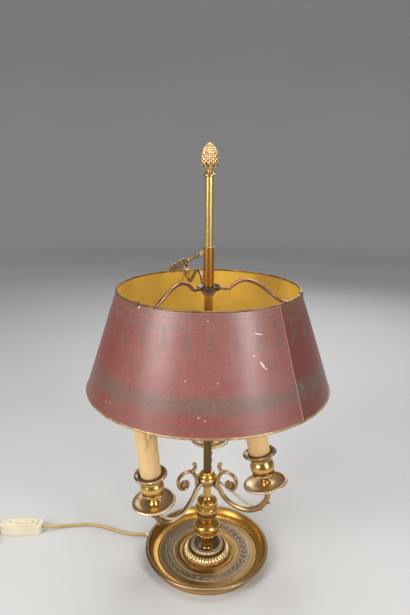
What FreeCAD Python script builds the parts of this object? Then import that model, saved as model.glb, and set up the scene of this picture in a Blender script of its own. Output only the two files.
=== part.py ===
import FreeCAD, Part
import math, os
from FreeCAD import Vector as V

os.makedirs("parts", exist_ok=True)

# ---------------------------------------------------------------- driving dimensions (mm)
ROD_R = 6.05            # column rod outside radius
ROD_BORE = 5.0          # column rod bore, takes the threaded tube
ROD_Z0, ROD_Z1 = 150.4, 597.7
TUBE_R, TUBE_BORE = 4.9, 3.4
SLEEVE_R, SLEEVE_BORE = 7.55, 6.11      # carrier that slides on the rod, 0.06 running clearance
SLEEVE_Z0, SLEEVE_Z1 = 447.2, 503.7
SPIGOT_R = 6.95
HUB_BORE = 7.02                         # spider hub turns on the spigot
SHADE_RB, SHADE_ZB = 175.8, 304.8       # shade bottom rim
SHADE_RT, SHADE_ZT = 129.2, 445.5       # shade top rim
SHADE_T = 0.8
RIM_WIRE_R = 1.5
DISH_R, DISH_Z = 99.0, 18.7
FLOOR_Z = 5.0                           # top of the dish floor
SPIDER_AZ = (-14.0, 106.0, 226.0)
KEY_Z, KEY_AZ, KEY_DROP, KEY_ROLL = 499.0, 187.0, 27.0, 65.0
CANDLE_R, CANDLE_BORE = 15.5, 14.1
# arm name: azimuth, pan centre radius, pan centre height, outward tilt of the pan axis
ARMS = {
    "left": (210.0, 91.7, 128.0, 5.0),
    "right": (330.0, 98.5, 163.0, -13.5),
    "rear": (87.0, 95.0, 151.0, 3.0),
}
CORD_D = 5.0
CORD_R = CORD_D / 2

Z = V(0, 0, 1)
O = V(0, 0, 0)
solids = {}


def keep(name, shape):
    solids[name] = shape


# ---------------------------------------------------------------- helpers
def outline(items):
    """Closed profile in the XZ plane. Each item is a point (r, z) reached by a line, or a list of points
    that a smooth curve passes through."""
    edges = []
    first = cur = V(items[0][0], 0, items[0][1])
    for it in items[1:]:
        if isinstance(it, tuple):
            p = V(it[0], 0, it[1])
            if p.distanceToPoint(cur) > 1e-6:
                edges.append(Part.LineSegment(cur, p).toShape())
            cur = p
        else:
            pts = [cur] + [V(a, 0, b) for a, b in it]
            c = Part.BSplineCurve()
            c.interpolate(pts)
            edges.append(c.toShape())
            cur = pts[-1]
    if cur.distanceToPoint(first) > 1e-6:
        edges.append(Part.LineSegment(cur, first).toShape())
    return Part.Wire(edges)


def rev(items):
    s = Part.Face(outline(items)).revolve(O, Z, 360)
    if s.Volume < 0:
        s.reverse()
    return Part.Solid(s) if s.ShapeType != "Solid" else s


def cyl(r, h, base=O, axis=Z):
    return Part.makeCylinder(r, h, base, axis)


def fillet_path(points, factor=0.45, closed_r=None, label=None):
    """Straight runs joined by tangent arcs; each arc is as large as its two runs allow."""
    P = [V(*p) for p in points]
    n = len(P)
    cuts = []
    radii = []
    for i in range(1, n - 1):
        a, b, c = P[i - 1], P[i], P[i + 1]
        u = (a - b)
        w = (c - b)
        run = min(u.Length, w.Length)
        u.normalize()
        w.normalize()
        turn = math.pi - u.getAngle(w)
        t = factor * run
        r = t / math.tan(turn / 2)
        cuts.append((b + u * t, b, b + w * t, u, w, turn, r))
        radii.append(r)
    edges = []
    length = 0.0
    cur = P[0]
    for a, b, c, u, w, turn, r in cuts:
        edges.append(Part.LineSegment(cur, a).toShape())
        length += cur.distanceToPoint(a)
        bis = (u + w)
        bis.normalize()
        centre_d = r / math.cos(turn / 2)
        mid = b + bis * (centre_d - r)
        edges.append(Part.Arc(a, mid, c).toShape())
        length += r * turn
        cur = c
    edges.append(Part.LineSegment(cur, P[-1]).toShape())
    length += cur.distanceToPoint(P[-1])
    if label:
        print(label, "length", round(length, 1), "radii", [round(r, 1) for r in radii],
              "turns", [round(math.degrees(k[5]), 1) for k in cuts])
    return Part.Wire(edges), length


def tube(points, r, label=None, factor=0.45):
    wire, length = fillet_path(points, factor=factor, label=label)
    start = V(*points[0])
    d = V(*points[1]) - start
    prof = Part.Wire([Part.makeCircle(r, start, d)])
    s = wire.makePipeShell([prof], True, True)
    s = Part.Solid(s) if s.ShapeType != "Solid" else s
    if s.Volume < 0:
        s.reverse()
    want = math.pi * r * r * length
    if abs(s.Volume - want) > 0.02 * want or not s.isValid():
        print("CHECK tube", label, "volume", round(s.Volume, 1), "expected", round(want, 1), "valid", s.isValid())
    return s


def one(shape):
    s = shape.removeSplitter()
    sol = s.Solids
    return sol[0] if len(sol) == 1 else s


def fuse(*shapes):
    a = shapes[0]
    for b in shapes[1:]:
        a = a.fuse(b)
    return one(a)


def rotz(shape, deg):
    s = shape.copy()
    s.rotate(O, Z, deg)
    return s


# ---------------------------------------------------------------- base
# dish: flat floor, concave cove, moulded rim, tapering outer wall down to a foot ring
dish = rev([
    (5.2, 3.2), (84.0, 3.2), (84.0, 0.0), (89.0, 0.0),
    [(90.4, 3.5), (93.0, 8.0), (95.2, 12.2)],
    (96.6, 12.4), [(98.4, 13.6), (99.0, 15.6), (98.4, 17.6), (96.4, 18.7)],
    (94.4, 18.2),
    [(92.6, 14.0), (90.0, 9.8), (86.0, 6.8), (80.0, FLOOR_Z)],
    (68.6, FLOOR_Z), (68.2, 5.5), (54.2, 5.5), (53.8, FLOOR_Z - 0.4), (45.6, FLOOR_Z - 0.4), (45.2, FLOOR_Z + 0.4),
    (42.6, FLOOR_Z + 0.4), (42.2, FLOOR_Z), (5.2, FLOOR_Z),
])
# the cord's hole through the foot ring, low at the back left
CORD_AZ = 160.0
CZ = 3.15
ca, sa = math.cos(math.radians(CORD_AZ)), math.sin(math.radians(CORD_AZ))
hole = cyl(3.1, 12.0, V(82.0 * ca, 82.0 * sa, CZ), V(ca, sa, 0))
dish = one(dish.cut(hole))
keep("base_dish", dish)

bush = cyl(3.1, 8.5, V(84.0 * ca, 84.0 * sa, CZ), V(ca, sa, 0))
bush_tail = Part.makeCone(3.1, 2.7, 18.0, V(92.5 * ca, 92.5 * sa, CZ), V(ca, sa, 0))
bush = fuse(bush, bush_tail).cut(cyl(CORD_R, 30.0, V(83.0 * ca, 83.0 * sa, CZ), V(ca, sa, 0)))
keep("cord_bush", one(bush))

# gadrooned boss on the dish floor
GADROONS = 40
dome = rev([
    (5.2, 8.0), (18.0, 8.0), (24.0, 6.6), (30.5, FLOOR_Z), (38.6, FLOOR_Z), (38.6, 6.4),
    [(37.6, 9.6), (35.2, 12.6), (31.6, 14.2)],
    (30.4, 14.2), (29.6, 12.6), (28.4, 12.6), (28.0, 14.8),
    [(27.2, 17.4), (25.2, 19.6), (22.8, 20.6)],
    (21.4, 20.6),
    [(17.6, 17.0), (13.4, 13.6), (10.2, 12.0)],
    (5.2, 12.0),
])
cutters = []
for i in range(GADROONS):
    a = 360.0 / GADROONS * i
    for p, q in ((V(31.4, 0, 14.4), V(35.6, 0, 12.2)), (V(35.3, 0, 12.6), V(38.3, 0, 7.4))):
        cutters.append(rotz(cyl(0.8, p.distanceToPoint(q), p, q - p), a))
dome = one(dome.cut(Part.makeCompound(cutters)))
keep("base_boss", dome)
keep("base_felt", rev([(0.0, 0.0), (83.6, 0.0), (83.6, 1.0), (0.0, 1.0)]))

# threaded tube through the whole stem, with its bottom nut
tube_z0, tube_z1 = 5.2, 172.0
ctube = cyl(TUBE_R, tube_z1 - tube_z0, V(0, 0, tube_z0)).cut(cyl(TUBE_BORE, 200, V(0, 0, 0)))
for a in (30, 150, 270):
    slot = Part.makeBox(8, 4, 7, V(0, -2, 134.0))
    ctube = ctube.cut(rotz(slot, a))
keep("central_tube", one(ctube))
nut_poly = Part.makePolygon([V(9.2 * math.cos(math.radians(60 * i)), 9.2 * math.sin(math.radians(60 * i)), 0)
                             for i in range(7)])
nut = Part.Face(nut_poly).extrude(V(0, 0, 2.6))
nut.translate(V(0, 0, 5.4))
keep("bottom_nut", one(nut.cut(cyl(TUBE_R, 20, V(0, 0, 0)))))
# the floor of the dish has a clear hole here, so the nut clamps the boss from below
solids["base_dish"] = one(solids["base_dish"].cut(cyl(11.5, 4.0, V(0, 0, 2.0))))

# ---------------------------------------------------------------- turned stem, all bored for the threaded tube
B = 5.0
keep("stem_foot", rev([
    (B, 12.05), (8.4, 12.05), [(8.8, 12.9), (8.2, 14.0)],
    [(7.5, 15.4), (7.3, 17.6), (6.3, 21.2), (6.2, 23.4)],
    [(7.0, 26.0), (8.4, 29.0)], (9.6, 30.0), (9.8, 31.4),
    [(11.4, 33.4), (14.4, 36.4)], (15.6, 37.4), (15.6, 38.4), (B, 38.4)]))
bead = rev([(B, 38.4), (16.4, 38.4), [(17.8, 39.6), (18.4, 41.0), (17.8, 42.4), (16.6, 43.5)], (B, 43.5)])
keep("bead_ring", bead)
keep("stem_bulb", rev([
    (B, 43.5), (17.0, 43.5), [(20.2, 47.0), (21.2, 51.8), (20.3, 56.2), (16.6, 60.0), (13.4, 62.2)], (B, 62.2)]))
keep("stem_vase", rev([
    (B, 62.2), (12.8, 62.2), [(13.4, 64.6), (15.4, 69.8), (16.6, 73.6)], (17.0, 74.4), (16.8, 75.0),
    [(17.2, 78.0), (17.9, 81.6)], (18.4, 82.2), [(18.9, 83.8), (18.8, 85.8), (18.3, 87.2)], (16.6, 87.9),
    [(16.0, 89.0), (16.3, 90.8)], (16.2, 92.6), (B, 92.6)]))
keep("stem_bell", rev([
    (B, 92.6), (15.8, 92.6), [(16.2, 95.2), (16.1, 98.4), (15.2, 100.6)],
    [(11.4, 103.0), (8.3, 105.6), (6.8, 109.0), (6.3, 114.0), (6.3, 122.0), (6.6, 130.5)], (B, 130.5)]))

# ---------------------------------------------------------------- arm hub and its cap
hub = rev([
    (B, 130.5), (13.4, 130.5), [(14.5, 131.2), (14.75, 132.6)],
    (14.75, 138.6), (15.5, 139.0), (15.5, 141.4), (14.8, 142.2),
    (11.5, 142.2), (11.5, 133.5), (B, 133.5)])
cap = rev([
    (B, 142.2), (13.4, 142.2), [(13.0, 144.6), (11.2, 147.6), (8.4, 149.8), (6.6, 150.4)], (B, 150.4)])
keep("hub_cap", cap)

# ---------------------------------------------------------------- column rod and finial
keep("column_rod", rev([(ROD_BORE, ROD_Z0), (ROD_R, ROD_Z0), (ROD_R, ROD_Z1), (ROD_BORE, ROD_Z1)]))
keep("finial_collar", rev([
    (0, 580.0), (4.9, 580.0), (4.9, 597.7), (8.0, 597.7), [(8.6, 599.0), (8.0, 600.4)],
    [(5.2, 602.4), (4.15, 604.6), (4.6, 606.8), (6.6, 608.9)], (0, 608.9)]))
keep("finial_pinecone", rev([
    (0, 608.9), (6.6, 608.9), [(9.8, 611.2), (12.3, 615.8), (12.95, 621.0), (11.8, 627.0), (8.8, 633.2), (4.6, 638.4),
                               (1.6, 640.3)],
    (0, 640.6)]))

# ---------------------------------------------------------------- arms, candle assemblies
MAIN = {   # centre line of each arm in its own vertical plane (radius, height), from the hub outwards
    "right": [(13.6, 131.0), (21.5, 126.5), (27.0, 118.5), (35.0, 111.8), (46.0, 107.3), (58.0, 105.2), (70.0, 106.6),
              (81.0, 111.6), (90.5, 119.0), (97.5, 128.5), (101.9, 138.0)],
    "left": [(13.6, 131.0), (19.8, 122.5), (24.8, 112.5), (32.0, 102.5), (41.0, 92.8), (51.0, 85.6), (62.0, 82.6),
             (71.6, 84.2), (80.5, 90.2), (86.7, 98.6), (89.6, 107.0)],
    "rear": [(13.6, 131.0), (20.5, 124.0), (26.0, 115.0), (33.5, 107.0), (42.5, 100.6), (52.5, 96.6), (63.5, 95.6),
             (74.5, 98.8), (83.8, 105.2), (90.8, 114.4), (93.6, 126.0)],
}
SCROLL = [(18.6, 131.5), (18.8, 141.0), (21.4, 149.0), (26.0, 156.2), (34.0, 160.2), (43.0, 158.6), (49.6, 152.4),
          (50.8, 143.4), (47.2, 135.4), (40.2, 131.8), (34.4, 135.4), (34.6, 142.2), (39.6, 145.6)]
LEAF = [(22.8, 170.6), (20.6, 165.6), (23.0, 160.6), (28.6, 158.8)]
WIRES = {  # pale wire beside and then above each arm (radius, height, sideways)
    "right": [(9.4, 136.8, 5.8), (20.5, 133.6, 5.8), (36.0, 127.4, 5.8), (54.0, 118.6, 5.8), (70.0, 111.4, 5.9),
              (79.6, 112.0, 6.0), (87.6, 118.6, 6.0), (94.0, 128.0, 6.0), (98.8, 138.4, 5.0), (101.6, 147.4, 1.6)],
    "left": [(9.4, 136.4, 5.8), (18.4, 132.2, 6.0), (24.6, 121.0, 6.0), (34.2, 104.6, 6.0), (43.6, 94.6, 6.0),
             (54.0, 89.6, 5.8), (64.8, 90.0, 4.2), (74.2, 94.0, 1.6), (80.0, 101.6, 0.0), (82.9, 109.8, 0.0),
             (86.9, 114.2, 0.0)],
    "rear": [(9.4, 136.6, -5.8), (20.0, 133.0, -6.0), (34.0, 122.4, -6.0), (50.0, 112.6, -5.8), (66.0, 107.2, -3.8),
             (77.2, 111.4, -1.2), (83.8, 120.2, 0.0), (87.2, 129.8, 0.0), (91.0, 135.4, 0.0)],
}
ARM_TUBE = 3.7
WIRE_R = 2.0
SCREW_Z = 137.2
hub_holes = []
screws = []
for name, (az, pr, pz, tilt) in ARMS.items():
    t = math.radians(tilt)
    d = V(math.sin(t), 0, math.cos(t))              # candle axis, in the arm's plane
    c = V(pr, 0, pz)                                # pan centre
    pts = [(r, 0, z) for r, z in MAIN[name]]
    end = c - d * 12.0
    pts.append((end.x, 0, end.z))
    main = tube(pts, ARM_TUBE, "arm " + name)
    boss = cyl(5.6, 15.0, c - d * 18.0, d)
    boss = fuse(boss, Part.makeSphere(5.6, c - d * 18.0))
    collar = cyl(8.0, 3.0, c - d * 6.0, d)
    scroll = tube([(r, 0, z) for r, z in SCROLL], 2.8, "scroll " + name)
    eye = cyl(5.4, 5.6, V(41.4, 2.8, 140.4), V(0, -1, 0))
    leaf = tube([(r, 0, z) for r, z in LEAF], 2.6, "leaf " + name)
    tip = Part.makeSphere(3.0, V(LEAF[0][0], 0, LEAF[0][1]))
    knee = Part.makeSphere(2.8, V(28.6, 0, 158.8))
    root = Part.makeBox(6.4, 6.8, 12.5, V(13.4, -3.4, 128.5))
    spur_base = V(pts[-4][0], 0, pts[-4][2])
    spur = Part.makeCone(3.4, 0.9, 9.5, spur_base, V(0.55, 0, -0.55))
    arm = fuse(main, boss, collar, scroll, eye, leaf, tip, knee, root, spur)
    arm = one(arm.cut(cyl(14.75, 40.0, V(0, 0, 110.0))).cut(cyl(15.5, 3.6, V(0, 0, 138.6))))
    if len(arm.Solids) > 1:
        arm = sorted(arm.Solids, key=lambda s: -s.Volume)[0]
    # bore for the nipple through boss and collar
    arm = one(arm.cut(cyl(3.0, 20.0, c - d * 16.0, d)))
    wpts = [(r, y, z) for r, z, y in [(a, b, s) for a, b, s in WIRES[name]]]
    wire = tube(wpts, WIRE_R, "wire " + name)
    wire = wire.cut(arm)
    wire = sorted(wire.Solids, key=lambda s: -s.Volume)[0]
    hub_holes.append(rotz(cyl(2.4, 12.0, V(wpts[0][0] - 1.0, wpts[0][1], wpts[0][2]),
                              V(*wpts[1]) - V(*wpts[0])), az))
    screw = fuse(cyl(2.0, 9.0, V(10.4, 0, SCREW_Z), V(1, 0, 0)), cyl(3.2, 1.6, V(9.2, 0, SCREW_Z), V(1, 0, 0)))
    arm = one(arm.cut(cyl(2.0, 4.8, V(14.6, 0, SCREW_Z), V(1, 0, 0))))
    hub_holes.append(rotz(cyl(2.0, 6.0, V(10.5, 0, SCREW_Z), V(1, 0, 0)), az))
    screws.append(rotz(screw, az))
    keep("arm_" + name, rotz(arm, az))
    keep("wire_" + name, rotz(wire, az))

    def place(s):
        """from the candle's own axis (pan centre at the origin) to its place on the lamp"""
        s = s.copy()
        s.rotate(O, V(0, 1, 0), tilt)
        s.translate(c)
        s.rotate(O, Z, az)
        return s

    pan = rev([
        (3.05, -3.0), (9.0, -3.0), [(17.0, -3.2), (24.0, -2.4), (29.6, -0.6)],
        (31.6, -0.6), [(32.6, 0.6), (32.4, 2.0), (31.4, 3.0)], (30.4, 3.3),
        [(28.8, 3.3), (27.2, 2.4)], [(22.0, 0.3), (15.0, -0.6), (10.0, -0.4)], (9.0, 0.0), (3.05, 0.0)])
    cup = rev([
        (3.05, 0.0), (8.6, 0.0), [(7.6, 1.2), (6.2, 3.0), (5.6, 6.4), (6.2, 9.8), (8.4, 12.0)],
        (12.0, 13.2), [(15.4, 14.2), (16.6, 15.8), (15.8, 17.4)], (14.6, 18.0),
        [(16.4, 21.2), (17.8, 26.6), (17.0, 31.8), (14.9, 36.2), (14.8, 39.6)],
        [(17.6, 43.6), (22.6, 45.8)], (24.2, 46.6), [(24.6, 48.2), (23.6, 49.8)], (22.0, 50.0),
        [(19.6, 48.9), (17.1, 48.4)], (17.1, 44.0), (12.6, 44.0), (12.6, 22.0), (3.05, 22.0)])
    candle = rev([(CANDLE_BORE, 44.05), (CANDLE_R, 44.05), (CANDLE_R, 126.0), [(15.2, 127.2), (14.6, 127.5)],
                  (CANDLE_BORE, 127.2)])
    nipple = rev([(2.0, -14.0), (2.95, -14.0), (2.95, 22.0), (2.95, 27.0), (2.0, 27.0)])
    holder = rev([
        (2.95, 22.0), (7.5, 22.0), (7.5, 26.0), (4.2, 27.5), (4.2, 70.0), (12.0, 74.0), (12.6, 75.0), (12.6, 118.0), (13.4, 119.0),
        (13.4, 123.0), (7.05, 123.0), (7.05, 99.0), (2.0, 99.0), (2.0, 27.0), (2.95, 27.0)])
    bcap = rev([(0, 101.0), (3.0, 101.0), (3.0, 102.4), (6.6, 104.4), (6.95, 105.0), (6.95, 123.2), (8.2, 125.0),
                (8.2, 125.6), (0, 125.6)])
    glass = rev([
        (0, 125.6), (8.2, 125.6), [(9.4, 128.0), (13.4, 136.0), (16.9, 146.0), (17.5, 152.0), (16.4, 162.0),
                                   (12.2, 176.0), (6.4, 189.0), (2.2, 197.0), (0.0, 199.0)],
        (0, 198.1),
        [(1.6, 196.2), (5.6, 188.4), (11.4, 175.6), (15.6, 161.8), (16.7, 152.0), (16.1, 146.2), (12.6, 136.4),
         (8.6, 128.6), (7.0, 126.4)], (0, 126.4)])
    keep("pan_" + name, place(pan))
    keep("cup_" + name, place(cup))
    keep("candle_" + name, place(candle))
    keep("lampholder_" + name, place(fuse(holder, nipple)))
    keep("bulb_" + name, place(glass))
    solids.setdefault("caps", []).append(place(bcap))

hub = hub.cut(Part.makeCompound(hub_holes))
keep("arm_hub", one(hub))
keep("arm_screws", Part.makeCompound(screws))
keep("bulb_caps", Part.makeCompound(solids.pop("caps")))

# two cores from the end of the cord's sheath, under the floor and up the threaded tube
def core(off):
    px, py = -sa * off, ca * off
    pts = [(r * ca + px, r * sa + py, 2.2) for r in (82.5, 64.0, 45.0, 28.0, 12.0, 1.2)]
    pts += [(1.2 * ca + px, 1.2 * sa + py, z) for z in (12.0, 30.0, 60.0, 92.0, 134.0)]
    return pts


def runs(points, r):
    """straight runs with one rounded corner where the route turns up"""
    P = [V(*p) for p in points]
    k = [i for i in range(1, len(P) - 1) if (P[i + 1] - P[i]).getAngle(P[i] - P[i - 1]) > 0.1][0]
    return tube([tuple(P[k - 1]), tuple(P[k]), tuple(P[k + 1])], r), P


def core_solid(off):
    pts = core(off)
    bend, P = runs(pts, 1.0)
    flat = cyl(1.0, P[0].distanceToPoint(P[4]), P[0], P[4] - P[0])
    up = cyl(1.0, P[6].distanceToPoint(P[-1]), P[6], P[-1] - P[6])
    return fuse(flat, bend, up)


keep("inner_wires", Part.makeCompound([core_solid(1.3), core_solid(-1.3)]))

# ---------------------------------------------------------------- shade carrier (slides on the rod)
sleeve = rev([
    (SLEEVE_BORE, 434.4), (SPIGOT_R, 434.4), (SPIGOT_R, SLEEVE_Z0), (SLEEVE_R, SLEEVE_Z0), (SLEEVE_R, SLEEVE_Z1 - 0.5),
    (SLEEVE_R - 0.5, SLEEVE_Z1), (SLEEVE_BORE, SLEEVE_Z1)])
kd = V(math.cos(math.radians(KEY_DROP)) * math.cos(math.radians(KEY_AZ)),
       math.cos(math.radians(KEY_DROP)) * math.sin(math.radians(KEY_AZ)), -math.sin(math.radians(KEY_DROP)))
K0 = V(0, 0, KEY_Z)
boss = fuse(cyl(3.8, 6.0, K0 + kd * 6.9, kd), Part.makeCone(3.8, 3.0, 1.4, K0 + kd * 12.9, kd))
sleeve = sleeve.fuse(boss)
sleeve = sleeve.cut(cyl(SLEEVE_BORE, 60, V(0, 0, 455)))
sleeve = sleeve.cut(cyl(2.05, 30, K0, kd))
keep("carrier_sleeve", one(sleeve))
keep("carrier_nut", rev([(SPIGOT_R, 434.8), (7.8, 434.8), [(8.4, 436.4), (9.6, 438.6), (10.9, 440.0)], (10.9, 440.4),
                         (SPIGOT_R, 440.4)]))

# clamp key: screw, two collars and a flat openwork bow
ku = V(0, 0, 1).cross(kd)
ku.normalize()


def at_key(s):
    """from a frame with the key along +X and its bow in the XY plane"""
    s = s.copy()
    m = FreeCAD.Matrix()
    kw = kd.cross(ku)
    m.A11, m.A21, m.A31 = kd.x, kd.y, kd.z
    m.A12, m.A22, m.A32 = ku.x, ku.y, ku.z
    m.A13, m.A23, m.A33 = kw.x, kw.y, kw.z
    m.A14, m.A24, m.A34 = K0.x, K0.y, K0.z
    return s.transformGeometry(m) if False else s.transformShape(m, True) or s


X = V(1, 0, 0)
shaft = cyl(2.0, 24.0, V(8.15, 0, 0), X)
kc1 = cyl(3.2, 1.8, V(17.6, 0, 0), X)
kc2 = cyl(3.4, 2.4, V(30.6, 0, 0), X)


def plate(cx, cy, ro, ri=None):
    p = cyl(ro, 3.0, V(cx, cy, -1.5))
    return p.cut(cyl(ri, 4.0, V(cx, cy, -2.0))) if ri else p


bow = fuse(plate(37.4, 3.9, 4.4), plate(37.4, -3.9, 4.4), plate(44.6, 0, 5.0), plate(51.2, 3.4, 3.6), plate(51.2, -3.4, 3.6),
           plate(57.0, 0, 3.8), Part.makeBox(30.0, 3.0, 3.0, V(32.0, -1.5, -1.5)), Part.makeCone(2.6, 0.7, 6.0, V(59.5, 0, 0), X))
bow = bow.cut(Part.makeCompound([plate(37.4, 4.2, 2.2), plate(37.4, -4.2, 2.2), plate(45.0, 0, 2.4), plate(51.4, 3.5, 1.7),
                                 plate(51.4, -3.5, 1.7)]))
key = fuse(shaft, kc1, kc2, bow)
key.rotate(O, X, KEY_ROLL)
key = at_key(key)
keep("clamp_key", one(key))

# ---------------------------------------------------------------- spider and shade (turn on the carrier)
sp_hub = rev([
    (HUB_BORE, 440.8), (11.8, 440.8), [(14.6, 441.6), (16.4, 443.4), (16.65, 445.6)],
    (16.65, 447.4), (16.1, 448.0), (15.2, 448.0), [(12.6, 446.9), (9.6, 446.6), (HUB_BORE, 446.6)]])
SP = [(15.0, 445.4), (23.4, 445.6), (29.8, 445.4), (34.0, 449.8), (40.6, 455.6), (48.8, 458.8), (58.0, 458.8), (67.0, 455.8),
      (76.8, 450.6), (87.2, 443.2), (96.0, 436.0), (104.4, 431.6), (112.6, 431.4), (121.4, 434.6), (131.0, 440.4)]
arm0 = tube([(r, 0, z) for r, z in SP], 2.5, "spider arm")
WALL_D = V(SHADE_RT - SHADE_RB, 0, SHADE_ZT - SHADE_ZB)
wd = V(WALL_D)
wd.normalize()
nrm = V(wd.z, 0, -wd.x)                       # outward normal of the shade wall


def wall(z, off=0.0):
    """radius of the shade's outer face at height z, moved inwards by off"""
    return SHADE_RB + (SHADE_RT - SHADE_RB) * (z - SHADE_ZB) / (SHADE_ZT - SHADE_ZB) - off / nrm.x


zb, zt = SHADE_ZB + 0.6, SHADE_ZT - 0.6
shade = rev([(wall(zb, SHADE_T), zb), (wall(zb), zb), (wall(zt), zt), (wall(zt, SHADE_T), zt)])
keep("shade", shade)
inner_cone = rev([(0, zb - 20), (wall(zb - 20, SHADE_T), zb - 20), (wall(zt + 36, SHADE_T), zt + 36), (0, zt + 36)])
arms = [rotz(arm0.common(inner_cone), a) for a in SPIDER_AZ]
arms = [sorted(a.Solids, key=lambda s: -s.Volume)[0] for a in arms]
spider = fuse(sp_hub, *arms)
spider = one(spider.cut(cyl(HUB_BORE, 30, V(0, 0, 430))))
keep("shade_spider", spider)


def rim(z, up):
    """rolled rim wire with a slot for the shade's edge; up is +1 where the shade leaves upwards"""
    r0 = wall(z, SHADE_T / 2)
    ze = z + 0.6 * up

    def meet(off):
        lo, hi = ze, z + RIM_WIRE_R * up
        for _ in range(60):
            m = (lo + hi) / 2
            if math.hypot(wall(m, off) - r0, m - z) < RIM_WIRE_R:
                lo = m
            else:
                hi = m
        return V(wall(lo, off), 0, lo)

    a, b = meet(0.0), meet(SHADE_T)
    far = V(r0, 0, z - RIM_WIRE_R * up)
    e = [Part.Arc(a, far, b).toShape(),
         Part.LineSegment(b, V(wall(ze, SHADE_T), 0, ze)).toShape(),
         Part.LineSegment(V(wall(ze, SHADE_T), 0, ze), V(wall(ze), 0, ze)).toShape(),
         Part.LineSegment(V(wall(ze), 0, ze), a).toShape()]
    s = Part.Face(Part.Wire(e)).revolve(O, Z, 360)
    s = Part.Solid(s) if s.ShapeType != "Solid" else s
    if s.Volume < 0:
        s.reverse()
    return s


bot = rim(SHADE_ZB, 1.0)
top = rim(SHADE_ZT, -1.0)


def largest(s):
    return sorted(s.Solids, key=lambda q: -q.Volume)[0]


keep("shade_bottom_rim", largest(bot))
# clips that hook each spider arm over the top rim, with a rivet head outside
clips = []
for a in SPIDER_AZ:
    r0, z0 = wall(SHADE_ZT, SHADE_T / 2), SHADE_ZT
    ri = RIM_WIRE_R + 0.15
    band = cyl(ri + 1.1, 7.0, V(r0, -3.5, z0), V(0, 1, 0)).cut(cyl(ri, 9.0, V(r0, -4.5, z0), V(0, 1, 0)))
    band = band.common(Part.makeBox(12, 9, 8, V(r0 - 6, -4.5, z0 - 0.2)))
    leg_in = Part.makeBox(1.1, 7.0, 5.6, V(r0 - ri - 1.1, -3.5, z0 - 5.6))
    leg_out = Part.makeBox(1.1, 7.0, 3.4, V(r0 + ri, -3.5, z0 - 3.4))
    clip = fuse(band, leg_in, leg_out)
    clip = rotz(clip, a)
    clip = clip.cut(shade).cut(spider)
    clips.append(largest(clip))
keep("rim_clips", Part.makeCompound(clips))
keep("shade_top_rim", largest(top))

# ---------------------------------------------------------------- inline switch on the cord
SW = V(-318.5, 49.0, 0.0)
SW_L, SW_W, SW_H, SW_SPLIT = 70.0, 27.0, 18.0, 8.6


def oval(l, w, z0, z1, bulge=3.0, corner=7.0):
    """rounded oblong with bowed long sides"""
    hl, hw = l / 2, w / 2
    y = hw - bulge
    x = hl - corner
    yc = y - corner * 0.72
    e = [
        Part.Arc(V(-x, -y, z0), V(0, -hw, z0), V(x, -y, z0)).toShape(),
        Part.Arc(V(x, -y, z0), V(hl - corner * 0.2, -(y + yc) / 2 - 1.0, z0), V(hl, -yc, z0)).toShape(),
        Part.LineSegment(V(hl, -yc, z0), V(hl, yc, z0)).toShape(),
        Part.Arc(V(hl, yc, z0), V(hl - corner * 0.2, (y + yc) / 2 + 1.0, z0), V(x, y, z0)).toShape(),
        Part.Arc(V(x, y, z0), V(0, hw, z0), V(-x, y, z0)).toShape(),
        Part.Arc(V(-x, y, z0), V(-hl + corner * 0.2, (y + yc) / 2 + 1.0, z0), V(-hl, yc, z0)).toShape(),
        Part.LineSegment(V(-hl, yc, z0), V(-hl, -yc, z0)).toShape(),
        Part.Arc(V(-hl, -yc, z0), V(-hl + corner * 0.2, -(y + yc) / 2 - 1.0, z0), V(-x, -y, z0)).toShape(),
    ]
    return Part.Face(Part.Wire(e)).extrude(V(0, 0, z1 - z0))


lower = oval(SW_L, SW_W, 0, SW_SPLIT)
upper = oval(SW_L, SW_W, SW_SPLIT, SW_H - 2.4)
panel = oval(SW_L - 15, SW_W - 7, SW_H - 2.4, SW_H, bulge=2.0, corner=5.0)
upper = fuse(upper, panel)


def soften(s, r, zs):
    es = [e for e in s.Edges if all(abs(v.Z - zs) < 1e-3 for v in e.Vertexes) and abs(e.BoundBox.ZLength) < 1e-3]
    try:
        f = s.makeFillet(r, es)
        return f if f.isValid() and f.Volume > 0.5 * s.Volume else s
    except Exception:
        return s


lower = soften(lower, 2.2, 0.0)
upper = soften(upper, 1.0, SW_H)
upper = upper.cut(oval(SW_L - 6, SW_W - 6, SW_SPLIT - 1, SW_H - 4.6, bulge=3.0, corner=6.0))
lower = lower.cut(oval(SW_L - 6, SW_W - 6, 2.2, SW_SPLIT + 1, bulge=3.0, corner=6.0))
upper = upper.cut(Part.makeBox(15.0, 9.6, 12, V(-7.5, -4.8, SW_H - 6)))
SW_CZ = 8.6                             # height of the cord where it enters the switch
for x in (-SW_L / 2 - 1, SW_L / 2 - 6):
    upper = upper.cut(cyl(CORD_R, 7, V(x, 0, SW_CZ), X))
    lower = lower.cut(cyl(CORD_R, 7, V(x, 0, SW_CZ), X))
sw_screws = []
for x in (-19.0, 19.0):
    upper = upper.cut(cyl(1.9, 10, V(x, 0, SW_H - 6)))
    sw_screws.append(fuse(cyl(1.85, 1.6, V(x, 0, SW_H - 4.6)), cyl(1.2, SW_H - 6.8, V(x, 0, 2.2))))
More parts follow.
